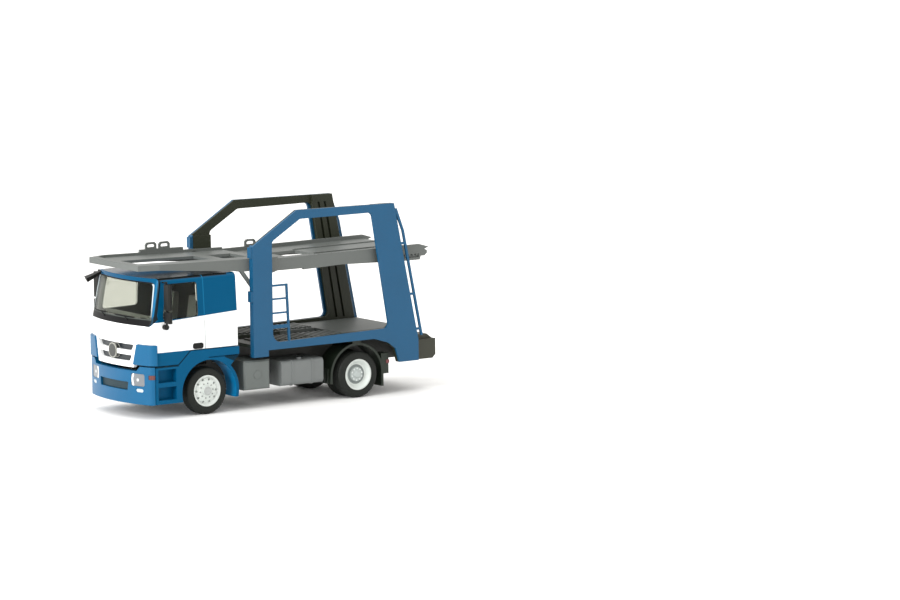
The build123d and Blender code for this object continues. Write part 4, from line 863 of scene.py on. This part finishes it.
# Wipers: two thin black blades parked along the windscreen's foot, each on a short arm.
# On the model they are moulded in relief on the glazing and printed black.
# Each line is its two ends as (y, z), its width and its height.
nose_x = front_axle_x + 0.0178
screen_foot_z = 0.0223
screen_slope = 0.0024 / 0.0113
screen_bow = 0.04158
wiper_proud = 0.00008
wiper_end_width = 0.55
wiper_steps = 25
wiper_sides = 8
wiper_lines = [
    (((-0.0107, 0.02412), (-0.0039, 0.0244)), 0.00034, 0.0003),
    (((-0.0068, 0.0242), (-0.0046, 0.02345)), 0.0003, 0.00032),
    (((0.0, 0.0243), (0.0079, 0.0242)), 0.00034, 0.0003),
    (((0.0043, 0.02418), (0.0056, 0.0234)), 0.0003, 0.00032),
]


def on_screen(y, z, proud):
    """Points on the bowed, leaning windscreen: a circle in plan, moved back with height."""
    bow = np.sqrt(screen_bow**2 - y**2) - screen_bow
    x = nose_x + bow - screen_slope * (z - screen_foot_z)
    return np.stack([x + proud, y, z], axis=-1)


def wiper_bar(ends, width, height):
    """An eight-sided bar along a straight line on the windscreen, thinner at both flat ends."""
    along = np.linspace(0.0, 1.0, wiper_steps)
    (y0, z0), (y1, z1) = ends
    path = on_screen(y0 + (y1 - y0) * along, z0 + (z1 - z0) * along, wiper_proud)
    run = np.gradient(path, axis=0)
    run /= np.linalg.norm(run, axis=1, keepdims=True)
    screen_normal = np.array([1.0, 0.0, screen_slope]) / math.hypot(1.0, screen_slope)
    outward = np.broadcast_to(screen_normal, run.shape)
    across = np.cross(outward, run)
    swell = np.sqrt(np.clip(1 - (2 * along - 1) ** 4, 0, 1))
    taper = (wiper_end_width + (1 - wiper_end_width) * swell)[None, :, None]
    turn = np.linspace(0.0, 2.0 * np.pi, wiper_sides, endpoint=False)[:, None, None]
    section = width / 2 * np.cos(turn) * across + height / 2 * np.sin(turn) * outward
    points = path + taper * section
    size = wiper_sides, wiper_steps
    return points.reshape(-1, 3), grid_quads(*size, False), end_faces(*size)


wipers = place_mesh("wipers", *gathered([wiper_bar(*line) for line in wiper_lines]))
wiper_black = moulded("wiper_black", (0.0025, 0.0026, 0.0028), roughness=0.5, shine=0.15)
wipers.data.materials.append(wiper_black)
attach(wipers, "truck")

# Mirrors and door handles: black mouldings, each with its arm or foot in one piece.
# They are pushed into holes in the cab's side and at the roof's corner.
mirror_black = moulded("mirror_black", (0.006, 0.0065, 0.0055), roughness=0.42, shine=0.2)
dress(mirror_black, "mirrors", "front_mirror")
dress(moulded("handle_black", (0.006, 0.0062, 0.006), roughness=0.4, shine=0.2), "door_handles")

# Lower deck: two ribbed grey runways in one moulding, glued on the subframe.
# The front half, where the ribs are, is coloured far darker; the rear plates are plain.
deck_grey = (0.105, 0.115, 0.109)
ribbed_front_dark = (0.016, 0.022, 0.011)
ribs_stop_x = front_axle_x - 0.0314


def runway_darker_front():
    """Deck grey, darker ahead of the line where the ribs stop."""
    material = moulded("lower_deck_grey", deck_grey, roughness=0.5)
    tree = material.node_tree
    x, _, _ = object_axes(tree)
    inked(material, above(tree, x, ribs_stop_x), ribbed_front_dark)
    return material


dress(runway_darker_front(), "lower_deck")

# Side frames: thin blue outer panels with a turned-in front edge, moulded in polystyrene.
# A dark liner is nested behind each panel, and ladders and grab rails are clipped on.
frame_blue = moulded("frame_blue", shade(body_blue, 1.06), roughness=0.46, shine=0.42)
dress(frame_blue, "side_frame_left", "side_frame_right", "ladders", "grab_rails")
liner_dark = moulded("liner_dark", (0.0165, 0.02, 0.009), roughness=0.5, shine=0.35)
dress(liner_dark, "frame_liner_left", "frame_liner_right")

# Upper deck: grey mouldings in two lengths that are held between the side frames.
# Struts prop it from below, and lashing hoops stand on one runway.
upper_deck_grey = moulded("upper_deck_grey", deck_grey, roughness=0.48)
dress(upper_deck_grey, "deck_front", "deck_rear", "deck_struts", "lashing_hoops")

# Rear beam: a darker grey block across the tail, moulded in one piece.
# It is fixed to the chassis from below.
dress(moulded("beam_grey", (0.034, 0.035, 0.0235), roughness=0.5, shine=0.4), "rear_beam")

# Studio: a white floor that runs out of view, white light all round that is
# brighter overhead, and one oblong soft light in front of the truck.
floor_half = 6.0
floor_corners = np.array([(-1, -1, 0), (1, -1, 0), (1, 1, 0), (-1, 1, 0)]) * floor_half
floor = place_mesh("floor", floor_corners, [[0, 1, 2, 3]], smooth=False)
floor_white = moulded(
    "studio_floor", (0.9, 0.9, 0.9), roughness=0.85, shine=0.0, grain=300.0, relief=0.0
)
floor.data.materials.append(floor_white)

horizon_white = (0.8, 0.79, 0.77)
overhead_white = (1.55, 1.53, 1.49)
world = bpy.data.worlds.new("studio_white")
world.use_nodes = True
sky = world.node_tree
sky_coords = sky.nodes.new("ShaderNodeTexCoord")
sky_axes = sky.nodes.new("ShaderNodeSeparateXYZ")
sky.links.new(sky_coords.outputs["Generated"], sky_axes.inputs["Vector"])
overhead = span(sky, sky_axes.outputs["Z"], 0.0, 1.0, start=0.1, stop=0.7)
sky_white = blend(sky, overhead, horizon_white, overhead_white)
sky.links.new(sky_white, sky.nodes["Background"].inputs["Color"])
bpy.context.scene.world = world

softbox_place = Vector((1.163, 0.163, 0.43))
softbox_aim = Vector((0.0, 0.0, 0.02))
softbox_light = bpy.data.lights.new("front_softbox", "AREA")
softbox_light.shape = "RECTANGLE"
softbox_light.size, softbox_light.size_y = 0.8, 0.6
softbox_light.energy = 15.5
softbox = bpy.data.objects.new("front_softbox", softbox_light)
softbox_turn = (softbox_aim - softbox_place).to_track_quat("-Z", "Y").to_matrix().to_4x4()
softbox.matrix_world = Matrix.Translation(softbox_place) @ softbox_turn
bpy.context.scene.collection.objects.link(softbox)

# Camera: a long lens in front of the truck's left corner, as in the photograph.
# Its place and its three angles were fitted to the photograph's perspective.
camera_place = Vector((0.75390 + front_axle_x, 1.21369, 0.21220))
camera_angles = (-124.479, -7.454, -0.637)
camera_yaw, camera_pitch, camera_roll = (math.radians(angle) for angle in camera_angles)
forward = Vector(
    (
        math.cos(camera_pitch) * math.cos(camera_yaw),
        math.cos(camera_pitch) * math.sin(camera_yaw),
        math.sin(camera_pitch),
    )
)
level = forward.cross(Vector((0, 0, 1))).normalized()
upright = level.cross(forward)
right = math.cos(camera_roll) * level + math.sin(camera_roll) * upright
up = math.cos(camera_roll) * upright - math.sin(camera_roll) * level
lens = bpy.data.cameras.new("camera")
lens.lens = 240.0
lens.sensor_width = 36.0
lens.clip_end = 50.0
camera = bpy.data.objects.new("camera", lens)
camera_turn = Matrix((right, up, -forward)).transposed().to_4x4()
camera.matrix_world = Matrix.Translation(camera_place) @ camera_turn
bpy.context.scene.collection.objects.link(camera)
bpy.context.scene.camera = camera
bpy.context.scene.view_settings.view_transform = "Standard"
